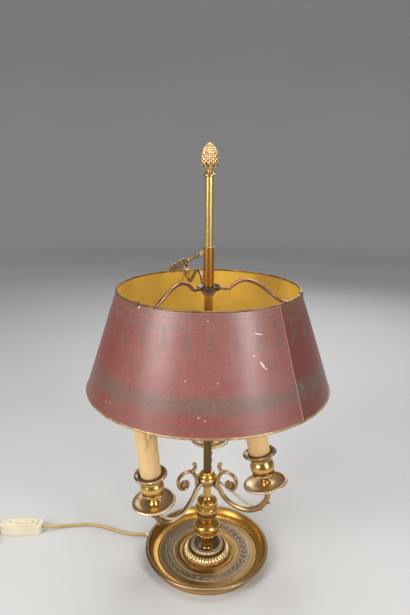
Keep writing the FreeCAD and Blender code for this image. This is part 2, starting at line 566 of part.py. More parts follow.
# rocker on its cross pin, shown with the side towards the lamp pressed
PIV = V(0, 0, SW_H - 3.4)
rk = Part.makeBox(14.0, 8.8, 4.6, V(-7.0, -4.4, SW_H - 3.9))
rk = rk.fuse(cyl(1.2, 9.4, V(0, -4.7, SW_H - 3.4), V(0, 1, 0)))
topcut = cyl(26.0, 12, V(0, -6, SW_H + 26.4), V(0, 1, 0))
rk = rk.cut(topcut)
rk = rk.fuse(Part.makeBox(4.0, 6.0, 3.0, V(-2.0, -3.0, SW_H - 6.6)))
rk = one(rk)
rk.rotate(PIV, V(0, 1, 0), 6.0)
terms = []
for x in (-24.5, 24.5):
    for y in (-4.4, 1.4):
        terms.append(Part.makeBox(7.0, 3.0, 5.0, V(x - 3.5, y, 2.2)))
upper = upper.cut(cyl(1.26, 11, V(0, -5.5, SW_H - 3.4), V(0, 1, 0)))
for n, s in (("switch_lower", one(lower)), ("switch_upper", one(upper)), ("switch_rocker", rk),
             ("switch_screws", Part.makeCompound(sw_screws)), ("switch_terminals", Part.makeCompound(terms))):
    s = s.copy()
    s.translate(SW)
    keep(n, s)

# ---------------------------------------------------------------- cord
LEAD = [  # from the sheath's end inside the foot ring to the switch
    (84.0 * ca, 84.0 * sa, CZ), (99.0 * ca, 99.0 * sa, CZ), (114.0 * ca - 0.5, 114.0 * sa - 0.6, 2.9),
    (-126.0, 37.6, 2.6), (-146.0, 43.4, 2.6), (-168.0, 53.0, 2.6), (-190.0, 60.4, 2.6), (-211.0, 63.0, 2.6),
    (-232.0, 60.8, 2.6), (-251.0, 57.0, 3.6), (-267.0, 51.6, 6.6), (-280.0, 49.2, 8.6),
    (SW.x + SW_L / 2 - 5.0, SW.y, SW_CZ),
]
keep("cord_lead", tube(LEAD, CORD_R, "cord_lead"))
COIL_C = V(-393.0, 10.0, 0)
COIL_N, COIL_MID = 4, 29.0              # turns beside each other, in two layers
COIL_RO = COIL_MID + COIL_N * CORD_D / 2
COIL_RI = COIL_MID - COIL_N * CORD_D / 2
COIL_H = 2 * CORD_D
coil = rev([(COIL_RI, 0.0), (COIL_RO, 0.0), (COIL_RO, COIL_H), (COIL_RI, COIL_H)])
coil.translate(COIL_C)
TAIL = [
    (SW.x - SW_L / 2 + 5.0, SW.y, SW_CZ), (SW.x - SW_L / 2 - 7.0, SW.y, 7.6), (SW.x - SW_L / 2 - 19.0, SW.y - 0.9, 3.6),
    (-385.0, COIL_C.y + 36.9, 2.6), (-395.0, COIL_C.y + 35.2, 2.6)]
tail = tube(TAIL, CORD_R, "cord_tail").cut(coil)
keep("cord_tail", largest(tail))
PLUG_X = COIL_C.x - COIL_MID - 1.5 * CORD_D + 0.4
PLUG_Y1 = COIL_C.y - 34.0               # where the cord enters the plug's relief
PLEAD = [(PLUG_X + 1.2, COIL_C.y + 7.0, 7.4), (PLUG_X, COIL_C.y - 8.0, 7.4), (PLUG_X - 0.8, COIL_C.y - 22.0, 7.0),
         (PLUG_X - 0.8, PLUG_Y1, 7.0)]
plead = tube(PLEAD, CORD_R, "plug_lead").cut(coil)
keep("plug_lead", largest(plead))
keep("cord_coil", coil)
tie = Part.makeBox(22.4, 6.0, COIL_H + 1.6, V(COIL_RI - 1.4, -3.0, 0.0)).cut(
    Part.makeBox(20.5, 8.0, COIL_H + 0.1, V(COIL_RI - 0.4, -4.0, 0.0)))
tie = largest(tie)
tie.translate(COIL_C)
keep("coil_tie", tie)

px = PLUG_X - 0.8
relief = Part.makeCone(3.1, 4.6, 16.0, V(px, PLUG_Y1 + 0.0, 7.0), V(0, -1, 0))
pb = Part.makeBox(13.8, 30.0, 13.6, V(px - 6.9, PLUG_Y1 - 46.0, 0.2))
try:
    pb = pb.makeFillet(2.6, [e for e in pb.Edges if abs(e.Vertexes[0].Y - e.Vertexes[-1].Y) > 20])
except Exception:
    pass
front = Part.makeBox(25.4, 9.0, 13.6, V(px - 12.7, PLUG_Y1 - 55.0, 0.2))
try:
    front = front.makeFillet(3.0, [e for e in front.Edges if abs(e.Vertexes[0].Y - e.Vertexes[-1].Y) > 8])
except Exception:
    pass
plug = fuse(relief, pb, front)
pins = []
for s in (-1, 1):
    hole = cyl(2.0, 12.0, V(px + s * 9.2, PLUG_Y1 - 44.0 - 5.0, 7.0), V(0, -1, 0))
    plug = plug.cut(hole)
    pins.append(fuse(cyl(2.0, 23.0, V(px + s * 9.2, PLUG_Y1 - 49.0, 7.0), V(0, -1, 0)),
                     Part.makeSphere(2.0, V(px + s * 9.2, PLUG_Y1 - 72.0, 7.0))))
keep("plug_body", largest(one(plug)))
keep("plug_pins", Part.makeCompound(pins))

# the shells and the bush are cut to the cord that passes through them
for a in ("switch_lower", "switch_upper", "cord_bush"):
    for b in ("cord_lead", "cord_tail"):
        solids[a] = largest(one(solids[a].cut(solids[b])))

# ---------------------------------------------------------------- write
for name in sorted(solids):
    s = solids[name]
    s.exportStep("parts/" + name + ".step")
    bb = s.BoundBox
    print("%-18s solids %d valid %s vol %9.1f  box %.1f %.1f %.1f .. %.1f %.1f %.1f" % (
        name, len(s.Solids), s.isValid(), s.Volume, bb.XMin, bb.YMin, bb.ZMin, bb.XMax, bb.YMax, bb.ZMax))
print("nodes", len(solids))
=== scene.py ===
import math

import bpy
import numpy as np
from mathutils import Matrix, Vector


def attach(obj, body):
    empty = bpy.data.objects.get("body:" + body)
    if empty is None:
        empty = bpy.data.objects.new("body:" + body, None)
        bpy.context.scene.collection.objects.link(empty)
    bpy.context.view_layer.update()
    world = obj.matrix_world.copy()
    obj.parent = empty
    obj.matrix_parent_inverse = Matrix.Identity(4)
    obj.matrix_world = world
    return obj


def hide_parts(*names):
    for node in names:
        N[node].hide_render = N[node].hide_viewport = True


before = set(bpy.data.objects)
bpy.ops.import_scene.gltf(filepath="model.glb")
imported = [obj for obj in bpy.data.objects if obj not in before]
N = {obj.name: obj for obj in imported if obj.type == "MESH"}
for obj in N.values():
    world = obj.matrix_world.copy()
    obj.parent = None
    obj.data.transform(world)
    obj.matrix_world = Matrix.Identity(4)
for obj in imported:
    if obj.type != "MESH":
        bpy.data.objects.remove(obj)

MM = 0.001
PI = math.pi
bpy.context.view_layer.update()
scene = bpy.context.scene

# ------------------------------------------------------------------ camera
cam_data = bpy.data.cameras.new("camera")
cam_data.sensor_width = 36.0
cam_data.lens = 36.0 * 521.0 / 615.0
cam_data.clip_start, cam_data.clip_end = 0.01, 50.0
cam = bpy.data.objects.new("camera", cam_data)
scene.collection.objects.link(cam)
cam.matrix_world = (Matrix.Translation((-0.005, -0.7175, 0.6135)) @ Matrix.Rotation(PI / 2 - 0.2688, 4, "X")
                    @ Matrix.Rotation(0.0058, 4, "Z"))
scene.camera = cam
scene.view_settings.view_transform = "Standard"


# ------------------------------------------------------------------ material helper
class Mat:
    """A small wrapper for building procedural materials."""

    def __init__(self, name, metallic=0.0, rough=0.4, **const):
        self.m = bpy.data.materials.new(name)
        self.m.use_nodes = True
        self.t = self.m.node_tree
        self.t.nodes.clear()
        out = self.t.nodes.new("ShaderNodeOutputMaterial")
        self.b = self.t.nodes.new("ShaderNodeBsdfPrincipled")
        self.t.links.new(self.b.outputs[0], out.inputs[0])
        self.b.inputs["Metallic"].default_value = metallic
        self.b.inputs["Roughness"].default_value = rough
        for k, v in const.items():
            self.b.inputs[k.replace("_", " ")].default_value = v
        self.tc = None

    def put(self, sock, x):
        if isinstance(x, bpy.types.NodeSocket):
            self.t.links.new(x, sock)
        elif isinstance(x, (tuple, list)) and len(x) == 3 and sock.type == "RGBA":
            sock.default_value = (x[0], x[1], x[2], 1.0)
        else:
            sock.default_value = x

    def obj(self):
        if self.tc is None:
            self.tc = self.t.nodes.new("ShaderNodeTexCoord")
        return self.tc.outputs["Object"]

    def math(self, op, a, b=None, c=None, clamp=False):
        n = self.t.nodes.new("ShaderNodeMath")
        n.operation = op
        n.use_clamp = clamp
        self.put(n.inputs[0], a)
        if b is not None:
            self.put(n.inputs[1], b)
        if c is not None:
            self.put(n.inputs[2], c)
        return n.outputs[0]

    def add(self, a, b): return self.math("ADD", a, b)
    def sub(self, a, b): return self.math("SUBTRACT", a, b)
    def mul(self, a, b): return self.math("MULTIPLY", a, b)
    def mx(self, a, b): return self.math("MAXIMUM", a, b)
    def mn(self, a, b): return self.math("MINIMUM", a, b)

    def xyz(self, scale=1000.0):
        """object coordinates in millimetres"""
        n = self.t.nodes.new("ShaderNodeSeparateXYZ")
        self.put(n.inputs[0], self.obj())
        return [self.mul(n.outputs[i], scale) for i in range(3)]

    def radius(self, x, y):
        return self.math("SQRT", self.add(self.mul(x, x), self.mul(y, y)))

    def vec(self, x, y, z):
        n = self.t.nodes.new("ShaderNodeCombineXYZ")
        for i, v in enumerate((x, y, z)):
            self.put(n.inputs[i], v)
        return n.outputs[0]

    def scaled(self, sx, sy, sz):
        n = self.t.nodes.new("ShaderNodeMapping")
        self.put(n.inputs["Vector"], self.obj())
        n.inputs["Scale"].default_value = (sx, sy, sz)
        return n.outputs[0]

    def noise(self, scale, detail=4.0, rough=0.55, vec=None, dist=0.0):
        n = self.t.nodes.new("ShaderNodeTexNoise")
        self.put(n.inputs["Vector"], vec if vec is not None else self.obj())
        n.inputs["Scale"].default_value = scale
        n.inputs["Detail"].default_value = detail
        n.inputs["Roughness"].default_value = rough
        n.inputs["Distortion"].default_value = dist
        return n.outputs["Fac"]

    def cells(self, scale, vec=None, out="Distance"):
        n = self.t.nodes.new("ShaderNodeTexVoronoi")
        self.put(n.inputs["Vector"], vec if vec is not None else self.obj())
        n.inputs["Scale"].default_value = scale
        return n.outputs[out]

    def step(self, x, lo, hi, a=0.0, b=1.0):
        n = self.t.nodes.new("ShaderNodeMapRange")
        n.interpolation_type = "SMOOTHSTEP"
        self.put(n.inputs[0], x)
        for i, v in enumerate((lo, hi, a, b)):
            n.inputs[i + 1].default_value = v
        return n.outputs[0]

    def mix(self, fac, a, b, mode="MIX"):
        n = self.t.nodes.new("ShaderNodeMix")
        n.data_type = "RGBA"
        n.blend_type = mode
        self.put(n.inputs[0], fac)
        self.put(n.inputs[6], a)
        self.put(n.inputs[7], b)
        return n.outputs[2]

    def ramp(self, fac, stops, mode="LINEAR"):
        n = self.t.nodes.new("ShaderNodeValToRGB")
        n.color_ramp.interpolation = mode
        self.put(n.inputs[0], fac)
        e = n.color_ramp.elements
        while len(e) > 1:
            e.remove(e[-1])
        e[0].position, e[0].color = stops[0][0], (*stops[0][1], 1)
        for p, c in stops[1:]:
            q = e.new(p)
            q.color = (*c, 1)
        return n.outputs[0]

    def ao(self, dist, samples=6):
        n = self.t.nodes.new("ShaderNodeAmbientOcclusion")
        n.samples = samples
        n.inputs["Distance"].default_value = dist
        return n.outputs["AO"]

    def bump(self, height, strength=0.3, dist=0.0005, chain=None):
        n = self.t.nodes.new("ShaderNodeBump")
        n.inputs["Strength"].default_value = strength
        n.inputs["Distance"].default_value = dist
        self.put(n.inputs["Height"], height)
        if chain is not None:
            self.put(n.inputs["Normal"], chain)
        return n.outputs[0]

    def base(self, c): self.put(self.b.inputs["Base Color"], c)
    def rough(self, c): self.put(self.b.inputs["Roughness"], c)
    def metal(self, c): self.put(self.b.inputs["Metallic"], c)
    def normal(self, c): self.put(self.b.inputs["Normal"], c)


GOLD = (0.82, 0.49, 0.13)
GOLD_DEEP = (0.42, 0.215, 0.05)
BROWN = (0.125, 0.065, 0.024)
GREY = (0.33, 0.255, 0.165)
GREY_HI = (0.58, 0.46, 0.31)
DARK = (0.05, 0.036, 0.025)


def aged(M, col, dirt=BROWN, cavity=0.9, dist=0.004, mott=0.35, base_rough=0.24, fine=2600.0):
    """common finish of the brass: tone changes, tarnish in the hollows, faint scratches"""
    n1 = M.noise(55.0, 5.0, 0.6)
    n2 = M.noise(330.0, 5.0, 0.65)
    n3 = M.noise(fine, 3.0, 0.6)
    tone = M.step(n1, 0.38, 0.66)
    spot = M.step(n2, 0.50, 0.72)
    c = M.mix(M.mul(tone, mott), col, M.mix(0.5, col, dirt))
    c = M.mix(M.mul(spot, mott), c, M.mix(0.6, col, dirt))
    hollow = M.step(M.ao(dist), 0.92, 0.35)
    c = M.mix(M.mul(hollow, cavity), c, dirt)
    M.base(c)
    r = M.add(base_rough, M.mul(spot, 0.14))
    r = M.add(r, M.mul(hollow, 0.22))
    r = M.add(r, M.mul(tone, 0.07))
    M.rough(M.add(r, M.mul(M.sub(n3, 0.5), 0.10)))
    M.normal(M.bump(M.add(M.mul(n2, 0.6), M.mul(n3, 0.4)), 0.16, 0.0003))


def brass(name, col=GOLD, dirt=BROWN, cavity=0.9, dist=0.004, mott=0.35, rough=0.24):
    M = Mat(name, metallic=1.0)
    aged(M, col, dirt, cavity, dist, mott, rough)
    return M.m


m_gold = brass("brass_gold", GOLD)
m_bell = brass("brass_stem", (0.78, 0.46, 0.13), mott=0.45, rough=0.2)
m_bronze = brass("brass_bronze", (0.34, 0.19, 0.10), (0.08, 0.04, 0.02), mott=0.4, rough=0.3)
m_arm = brass("brass_arm", (0.58, 0.37, 0.175), (0.11, 0.065, 0.035), cavity=1.0, dist=0.005, mott=0.6, rough=0.3)
m_finial = brass("brass_finial", (0.84, 0.57, 0.29), (0.13, 0.07, 0.028), cavity=1.0, dist=0.004, mott=0.3, rough=0.3)
m_key = brass("brass_key", (0.50, 0.34, 0.16), (0.05, 0.035, 0.022), cavity=1.0, dist=0.004, mott=0.5, rough=0.27)
m_inner = brass("brass_inner", (0.66, 0.50, 0.26), mott=0.2, rough=0.3)
m_clip = brass("brass_clip", (0.40, 0.27, 0.15), mott=0.4, rough=0.35)


def hub_material():
    """copper-brown drum with a bright worn ring round its top"""
    M = Mat("brass_hub", metallic=1.0)
    x, y, z = M.xyz()
    col = M.mix(M.step(z, 138.4, 139.2), (0.40, 0.225, 0.11), (0.86, 0.60, 0.30))
    aged(M, col, (0.10, 0.052, 0.025), 0.8, 0.004, 0.45, 0.24)
    return M.m


m_hub = hub_material()


# dish: zones by distance from the axis
def zones(name, stops, scale, dirt=BROWN, rough_lo=0.2, mott=0.4, cavity=0.9, dist=0.004, rough_stops=None):
    M = Mat(name, metallic=1.0)
    x, y, z = M.xyz()
    r = M.radius(x, y)
    f = M.mul(r, 1.0 / scale)
    col = M.ramp(f, [(a / scale, c) for a, c in stops])
    if name == "brass_dish":
        # painted shade: the cove on the cord's side is darkened to stand in for a dark reflection there
        col = M.mix(M.mul(M.mul(M.step(x, -48.0, -78.0), M.step(r, 79.0, 84.0)), 0.72), col, (0.22, 0.115, 0.03))
    n1 = M.noise(38.0, 5.0, 0.6)
    n2 = M.noise(300.0, 6.0, 0.7)
    n3 = M.noise(2600.0, 3.0, 0.6)
    tone = M.step(n1, 0.36, 0.66)
    spot = M.step(n2, 0.47, 0.70)
    c = M.mix(M.mul(tone, mott), col, M.mix(0.55, col, dirt))
    c = M.mix(M.mul(spot, mott * 0.8), c, M.mix(0.6, col, dirt))
    hollow = M.step(M.ao(dist), 0.90, 0.35)
    c = M.mix(M.mul(hollow, cavity), c, dirt)
    M.base(c)
    g = M.ramp(f, [(a / scale, (v, v, v)) for a, v in rough_stops]) if rough_stops else rough_lo
    rr = M.add(g, M.mul(spot, 0.13))
    rr = M.add(rr, M.mul(hollow, 0.18))
    M.rough(rr)
    # faint turning lines
    rings = M.noise(1.0, 2.0, 0.5, M.vec(M.mul(r, 5.0), 0.0, M.mul(z, 5.0)))
    M.normal(M.bump(M.add(M.mul(rings, 0.5), M.mul(n3, 0.5)), 0.14, 0.0003))
    return M


m_dish = zones("brass_dish", [
    (0, GOLD_DEEP), (40, (0.40, 0.22, 0.06)), (43, (0.56, 0.32, 0.09)), (45.0, (0.17, 0.10, 0.04)), (46.5, (0.30, 0.18, 0.06)),
    (52.5, (0.33, 0.195, 0.065)), (54.0, GREY_HI), (55.5, (0.29, 0.225, 0.15)), (66.5, (0.29, 0.225, 0.15)), (68.2, GREY_HI),
    (69.5, (0.28, 0.19, 0.095)), (76, (0.31, 0.205, 0.10)), (80, (0.44, 0.24, 0.07)), (84, (0.84, 0.45, 0.09)), (92.5, (0.88, 0.50, 0.12)),
    (94.3, (0.42, 0.28, 0.13)), (95.6, (0.62, 0.45, 0.25)), (97.0, (0.50, 0.35, 0.18)), (99.5, (0.46, 0.31, 0.15))], 100.0, dirt=(0.10, 0.06, 0.028),
    mott=0.36, rough_stops=[(0, 0.3), (52, 0.3), (55, 0.40), (70, 0.36), (82, 0.24), (86, 0.30), (93, 0.30), (96, 0.32)]).m
m_boss = zones("brass_boss", [
    (0, (0.30, 0.235, 0.165)), (17.5, (0.33, 0.26, 0.18)), (20.8, (0.36, 0.285, 0.195)), (22.0, (0.46, 0.37, 0.25)), (26.8, (0.46, 0.36, 0.22)),
    (28.2, (0.17, 0.12, 0.065)), (29.6, (0.20, 0.14, 0.075)), (30.6, (0.62, 0.45, 0.22)), (33.0, (0.98, 0.76, 0.42)),
    (36.6, (0.88, 0.64, 0.31)), (38.2, (0.60, 0.42, 0.20))], 40.0, dirt=(0.11, 0.078, 0.042), mott=0.26, cavity=0.75, dist=0.003,
    rough_stops=[(0, 0.42), (20, 0.4), (24, 0.36), (30, 0.38), (33, 0.32), (40, 0.32)]).m


def stem_material():
    """golden stem with the grey fluted band round the vase's shoulder"""
    M = Mat("brass_vase", metallic=1.0)
    x, y, z = M.xyz()
    band = M.mul(M.step(z, 74.4, 75.2), M.step(z, 82.0, 81.2))
    col = M.mix(band, (0.80, 0.48, 0.14), (0.40, 0.30, 0.19))
    aged(M, col, (0.10, 0.065, 0.035), 0.95, 0.003, 0.42, 0.22)
    return M.m


m_vase = stem_material()


def pan_material():
    M = Mat("brass_pan", metallic=1.0)
    x, y, z = M.xyz()
    r = M.radius(x, y)
    f = M.mul(r, 1.0 / 34.0)
    col = M.ramp(f, [(0.0, (0.80, 0.50, 0.17)), (0.26, (0.80, 0.51, 0.19)), (0.36, (0.74, 0.51, 0.27)), (0.6, (0.70, 0.51, 0.29)),
                     (0.76, (0.68, 0.50, 0.31)), (0.83, (0.30, 0.215, 0.13)), (0.88, (0.70, 0.54, 0.35)), (0.95, (0.88, 0.71, 0.48)),
                     (1.0, (0.62, 0.47, 0.30))])
    aged(M, col, (0.12, 0.085, 0.05), 0.95, 0.003, 0.50, 0.30)
    return M.m


def cup_material():
    M = Mat("brass_cup", metallic=1.0)
    x, y, z = M.xyz()
    f = M.mul(z, 1.0 / 52.0)
    g = (0.84, 0.51, 0.15)
    col = M.ramp(f, [(0.0, g), (0.20, g), (0.25, (0.45, 0.31, 0.15)), (0.34, (0.42, 0.30, 0.16)), (0.38, (0.78, 0.47, 0.14)),
                     (0.46, g), (0.66, g), (0.76, (0.50, 0.32, 0.13)), (0.84, (0.34, 0.245, 0.145)), (0.92, (0.36, 0.275, 0.18)),
                     (1.0, (0.50, 0.385, 0.25))])
    aged(M, col, (0.09, 0.06, 0.035), 0.9, 0.004, 0.46, 0.2)
    return M.m


m_pan, m_cup = pan_material(), cup_material()


def rod_material(name, light, deep, painted_shade_low=None):
    """drawn tube with streaks along its length; with a fourth colour given, painted shade darkens it towards the
    bottom, under the lampshade
    """
    M = Mat(name, metallic=1.0)
    x, y, z = M.xyz()
    s1 = M.noise(1.0, 3.0, 0.6, M.scaled(420.0, 420.0, 9.0))
    s2 = M.noise(1.0, 4.0, 0.6, M.scaled(1500.0, 1500.0, 40.0))
    n2 = M.noise(240.0, 5.0, 0.65)
    c = M.mix(M.step(s1, 0.36, 0.68), light, deep)
    c = M.mix(M.mul(M.step(s2, 0.48, 0.70), 0.45), c, deep)
    # painted shade: the rod darkens towards the bottom, where it stands under the lampshade
    if painted_shade_low is not None:
        k = M.step(M.add(z, M.mul(M.sub(n2, 0.5), 60.0)), 470.0, 380.0)
        c = M.mix(M.mul(k, 0.95), c, painted_shade_low)
    c = M.mix(M.mul(M.step(n2, 0.60, 0.76), 0.5), c, BROWN)
    c = M.mix(M.step(M.ao(0.004), 0.8, 0.4), c, BROWN)
    M.base(c)
    M.rough(M.add(0.24, M.add(M.mul(s1, 0.12), M.mul(M.step(n2, 0.55, 0.75), 0.15))))
    M.normal(M.bump(M.add(M.mul(s2, 0.6), M.mul(n2, 0.4)), 0.15, 0.0003))
    return M.m


# the fourth colour is painted shade for the rod's lower part
m_rod = rod_material("brass_rod", (1.0, 0.78, 0.30), (0.80, 0.50, 0.13), (0.13, 0.08, 0.03))
m_collar = rod_material("brass_collar", (0.86, 0.60, 0.27), (0.50, 0.29, 0.10))


def sleeve_material():
    """copper-orange tube; the small boss that takes the key is painted bright as a highlight"""
    M = Mat("brass_sleeve", metallic=1.0)
    x, y, z = M.xyz()
    s1 = M.noise(1.0, 3.0, 0.6, M.scaled(420.0, 420.0, 9.0))
    n2 = M.noise(260.0, 5.0, 0.65)
    c = M.mix(M.step(s1, 0.36, 0.66), (0.78, 0.41, 0.095), (0.48, 0.225, 0.05))
    c = M.mix(M.mul(M.step(n2, 0.56, 0.74), 0.55), c, (0.12, 0.06, 0.02))
    c = M.mix(M.step(z, 501.6, 503.2), c, (0.80, 0.60, 0.30))
    # painted highlight: the key's boss is given a bright cream colour
    c = M.mix(M.step(M.radius(x, y), 8.2, 9.4), c, (0.86, 0.72, 0.48))
    c = M.mix(M.mul(M.step(M.ao(0.004), 0.8, 0.4), 0.8), c, BROWN)
    M.base(c)
    M.rough(M.add(0.25, M.mul(n2, 0.14)))
    M.normal(M.bump(M.add(M.mul(s1, 0.5), M.mul(n2, 0.5)), 0.15, 0.0003))
    return M.m


m_sleeve = sleeve_material()


def spider_material():
    M = Mat("brass_spider", metallic=1.0)
    x, y, z = M.xyz()
    r = M.radius(x, y)
    col = M.mix(M.step(r, 17.6, 16.2), (0.40, 0.22, 0.125), (0.15, 0.135, 0.09))
    n2 = M.noise(700.0, 4.0, 0.65)
    aged(M, col, (0.09, 0.05, 0.03), 0.9, 0.004, 0.5, 0.27)
    return M.m


m_spider = spider_material()


# ------------------------------------------------------------------ shade paint
def shade_paint():
    M = Mat("shade_paint", metallic=0.0, rough=0.4, Specular_IOR_Level=0.55, Coat_Weight=0.40, Coat_Roughness=0.32)
    x, y, z = M.xyz()
    az = M.mul(M.math("ARCTAN2", y, x), 180.0 / PI)                 # degrees
    s = M.mul(M.sub(z, 304.8), 148.2 / 140.7)                       # along the slope, mm above the lower edge
    n_big = M.noise(9.0, 4.0, 0.55)
    n_mid = M.noise(46.0, 5.0, 0.6)
    n_fine = M.noise(420.0, 5.0, 0.7)
    n_grain = M.noise(1900.0, 3.0, 0.65)
    drip = M.noise(1.0, 4.0, 0.6, M.vec(M.mul(az, 0.55), 0.0, M.mul(s, 0.012)))

    ground = M.mix(M.step(n_big, 0.36, 0.66), (0.260, 0.066, 0.051), (0.295, 0.098, 0.085))
    ground = M.mix(M.mul(M.step(n_mid, 0.42, 0.70), 0.40), ground, (0.31, 0.140, 0.126))
    ground = M.mix(M.mul(M.step(drip, 0.45, 0.75), 0.30), ground, (0.165, 0.042, 0.032))
    # painted shade where the light falls off: darker, browner paint beyond the seam and near the left edge; beyond the
    # seam partly also the other panel's own paint
    right = M.mul(M.step(az, -47.9, -47.1), M.step(az, 40.0, -15.0))
    ground = M.mix(M.mul(right, 0.88), ground, (0.150, 0.028, 0.014))
    # painted shade near the left edge
    left = M.mul(M.step(az, -128.0, -150.0), M.step(az, -180.0, -172.0))
    ground = M.mix(M.mul(left, 0.8), ground, (0.200, 0.030, 0.018))
    # dust: paler along the upper part and the lower edge
    dust = M.mul(M.step(n_fine, 0.40, 0.74), M.add(0.20, M.mul(M.step(s, 112.0, 140.0), 0.35)))
    ground = M.mix(dust, ground, (0.36, 0.21, 0.185))

    worn = M.step(M.add(M.mul(n_mid, 0.5), M.mul(n_fine, 0.5)), 0.34, 0.60, 0.5, 1.0)
    olive = M.mix(M.step(n_fine, 0.35, 0.7), (0.085, 0.080, 0.056), (0.185, 0.165, 0.125))

    def frac(v):
        return M.math("FRACT", v)

    def leaf(u, v, cu, cv, ang, a, b):
        """soft-edged ellipse, 1 inside; u and v in millimetres"""
        c0, s0 = math.cos(ang), math.sin(ang)
        du, dv = M.sub(u, cu), M.sub(v, cv)
        p = M.add(M.mul(du, c0), M.mul(dv, s0))
        q = M.sub(M.mul(dv, c0), M.mul(du, s0))
        d = M.add(M.math("POWER", M.math("ABSOLUTE", M.mul(p, 1.0 / a)), 1.6),
                  M.math("POWER", M.math("ABSOLUTE", M.mul(q, 1.0 / b)), 1.6))
        return M.step(d, 1.15, 0.75)

    # laurel frieze: leaf pairs on a wavy stem, one repeat every 5 degrees
    rep = 5.0
    wide = rep * 2.87
    u = M.mul(frac(M.mul(az, 1.0 / rep)), wide)
    marks = M.mx(leaf(u, s, wide * 0.36, 42.0, 0.62, 6.4, 2.6), leaf(u, s, wide * 0.36, 30.9, -0.62, 6.4, 2.6))
    marks = M.mx(marks, leaf(u, s, wide * 0.80, 39.6, 0.30, 4.9, 2.0))
    marks = M.mx(marks, leaf(u, s, wide * 0.80, 33.2, -0.30, 4.9, 2.0))
    marks = M.mx(marks, leaf(u, s, wide * 0.78, 45.6, 0.0, 1.25, 1.25))
    marks = M.mx(marks, leaf(u, s, wide * 0.78, 27.2, 0.0, 1.25, 1.25))
    stem = M.step(M.math("ABSOLUTE", M.sub(s, M.add(36.4, M.mul(M.math("SINE", M.mul(az, PI / 180 * 72)), 0.5)))), 1.0, 0.55)
    marks = M.mx(marks, stem)
    # veins inside the leaves
    vein = M.step(M.noise(1.0, 2.0, 0.5, M.vec(M.mul(az, 3.4), M.mul(s, 0.5), 0.0)), 0.40, 0.60, 0.45, 1.0)
    ink = M.mul(marks, vein)
    # tired paint round the frieze and in a row of soft blotches between the tassels
    haze = M.mul(M.mul(M.step(s, 21.0, 26.0), M.step(s, 52.0, 46.5)), M.step(M.add(M.mul(n_fine, 0.6), M.mul(n_mid, 0.4)), 0.38, 0.58, 0.10, 0.55))
    blot = M.mul(M.mul(M.step(s, 119.0, 124.0), M.step(s, 136.0, 131.0)), M.step(M.add(M.mul(n_fine, 0.5), M.mul(n_mid, 0.5)), 0.46, 0.58, 0.0, 0.42))
    ink = M.mx(ink, M.mx(haze, blot))

    # hanging tassels below the upper line, one every 12 degrees
    rt = 12.0
    wt = rt * 2.48
    ut = M.mul(M.sub(frac(M.mul(M.add(az, 95.0), 1.0 / rt)), 0.5), wt)
    fall = M.step(s, 122.0, 98.0, 2.2, 6.5)                       # half width grows downwards
    skirt = M.mul(M.step(M.sub(M.math("ABSOLUTE", ut), fall), 0.9, -0.9), M.mul(M.step(s, 97.5, 101.0), M.step(s, 122.0, 120.5)))
    strand = M.step(M.math("SINE", M.mul(M.math("DIVIDE", ut, fall), 9.5)), -0.35, 0.5, 0.15, 1.0)
    tassel = M.mx(M.mul(skirt, strand), leaf(ut, s, 0.0, 123.6, 0.0, 2.5, 2.5))
    tassel = M.mx(tassel, M.mul(M.step(M.math("ABSOLUTE", ut), 0.8, 0.35), M.mul(M.step(s, 125.0, 126.0), M.step(s, 134.0, 132.5))))
    ink = M.mx(ink, M.mul(tassel, 0.92))

    for at, w, k in ((10.4, 0.55, 0.8), (13.2, 0.3, 0.45), (139.2, 0.55, 0.85), (143.6, 0.35, 0.6)):
        ink = M.mx(ink, M.mul(M.step(M.math("ABSOLUTE", M.sub(s, at)), w + 0.35, w - 0.1), k))
    c = M.mix(M.mul(M.mul(ink, worn), 0.92), ground, olive)

    # chips and specks through to the pale ground coat
    pale = (0.80, 0.62, 0.55)

    def chip(a0, s0, ang, la, lb):
        return leaf(M.mul(M.sub(az, a0), 2.55), M.sub(s, s0), 0.0, 0.0, ang, la, lb)

    chips = M.mx(chip(-64.7, 119.0, -0.25, 6.5, 0.8), M.mul(chip(-86.2, 65.0, 0.3, 2.0, 0.5), 0.5))
    for a0, s0, ang, la, lb in ((-68.5, 94.0, -0.1, 1.9, 0.9), (-64.6, 81.5, -1.05, 6.0, 1.4), (-63.1, 76.2, 0.0, 1.1, 1.1),
                                (-100.4, 66.3, 0.0, 0.8, 0.8), (-94.1, 25.0, 0.0, 0.9, 0.8), (-91.5, 21.4, 0.0, 0.8, 0.8),
                                (-137.0, 18.5, 0.0, 0.8, 1.0), (-139.6, 17.5, 0.0, 0.7, 0.9), (-131.7, 145.0, 0.0, 2.2, 1.6),
                                (-90.6, 138.0, 0.0, 0.7, 0.7), (-64.3, 103.0, 0.4, 0.9, 0.5), (60.0, 60.0, 0.3, 2.4, 0.7),
                                (110.0, 110.0, 0.9, 2.0, 0.6), (150.0, 30.0, 0.0, 1.1, 0.9)):
        chips = M.mx(chips, chip(a0, s0, ang, la, lb))
    speck = M.step(M.cells(260.0), 0.10, 0.06)
    speck = M.mul(speck, M.step(n_mid, 0.58, 0.66))
    c = M.mix(M.mul(speck, 0.55), c, pale)
    c = M.mix(chips, c, pale)
    # the seam: a pale worn line with a dark shadow line beside it
    seam_at = M.add(-47.5, M.mul(M.sub(n_mid, 0.5), 0.25))
    d_seam = M.mul(M.sub(az, seam_at), 2.6)
    line = M.step(M.math("ABSOLUTE", d_seam), 0.95, 0.35)
    shadow = M.step(M.math("ABSOLUTE", M.sub(d_seam, 3.2)), 1.5, 0.3)
    c = M.mix(M.mul(shadow, 0.4), c, (0.10, 0.045, 0.035))
    c = M.mix(M.mul(line, 0.85), c, (0.62, 0.43, 0.36))
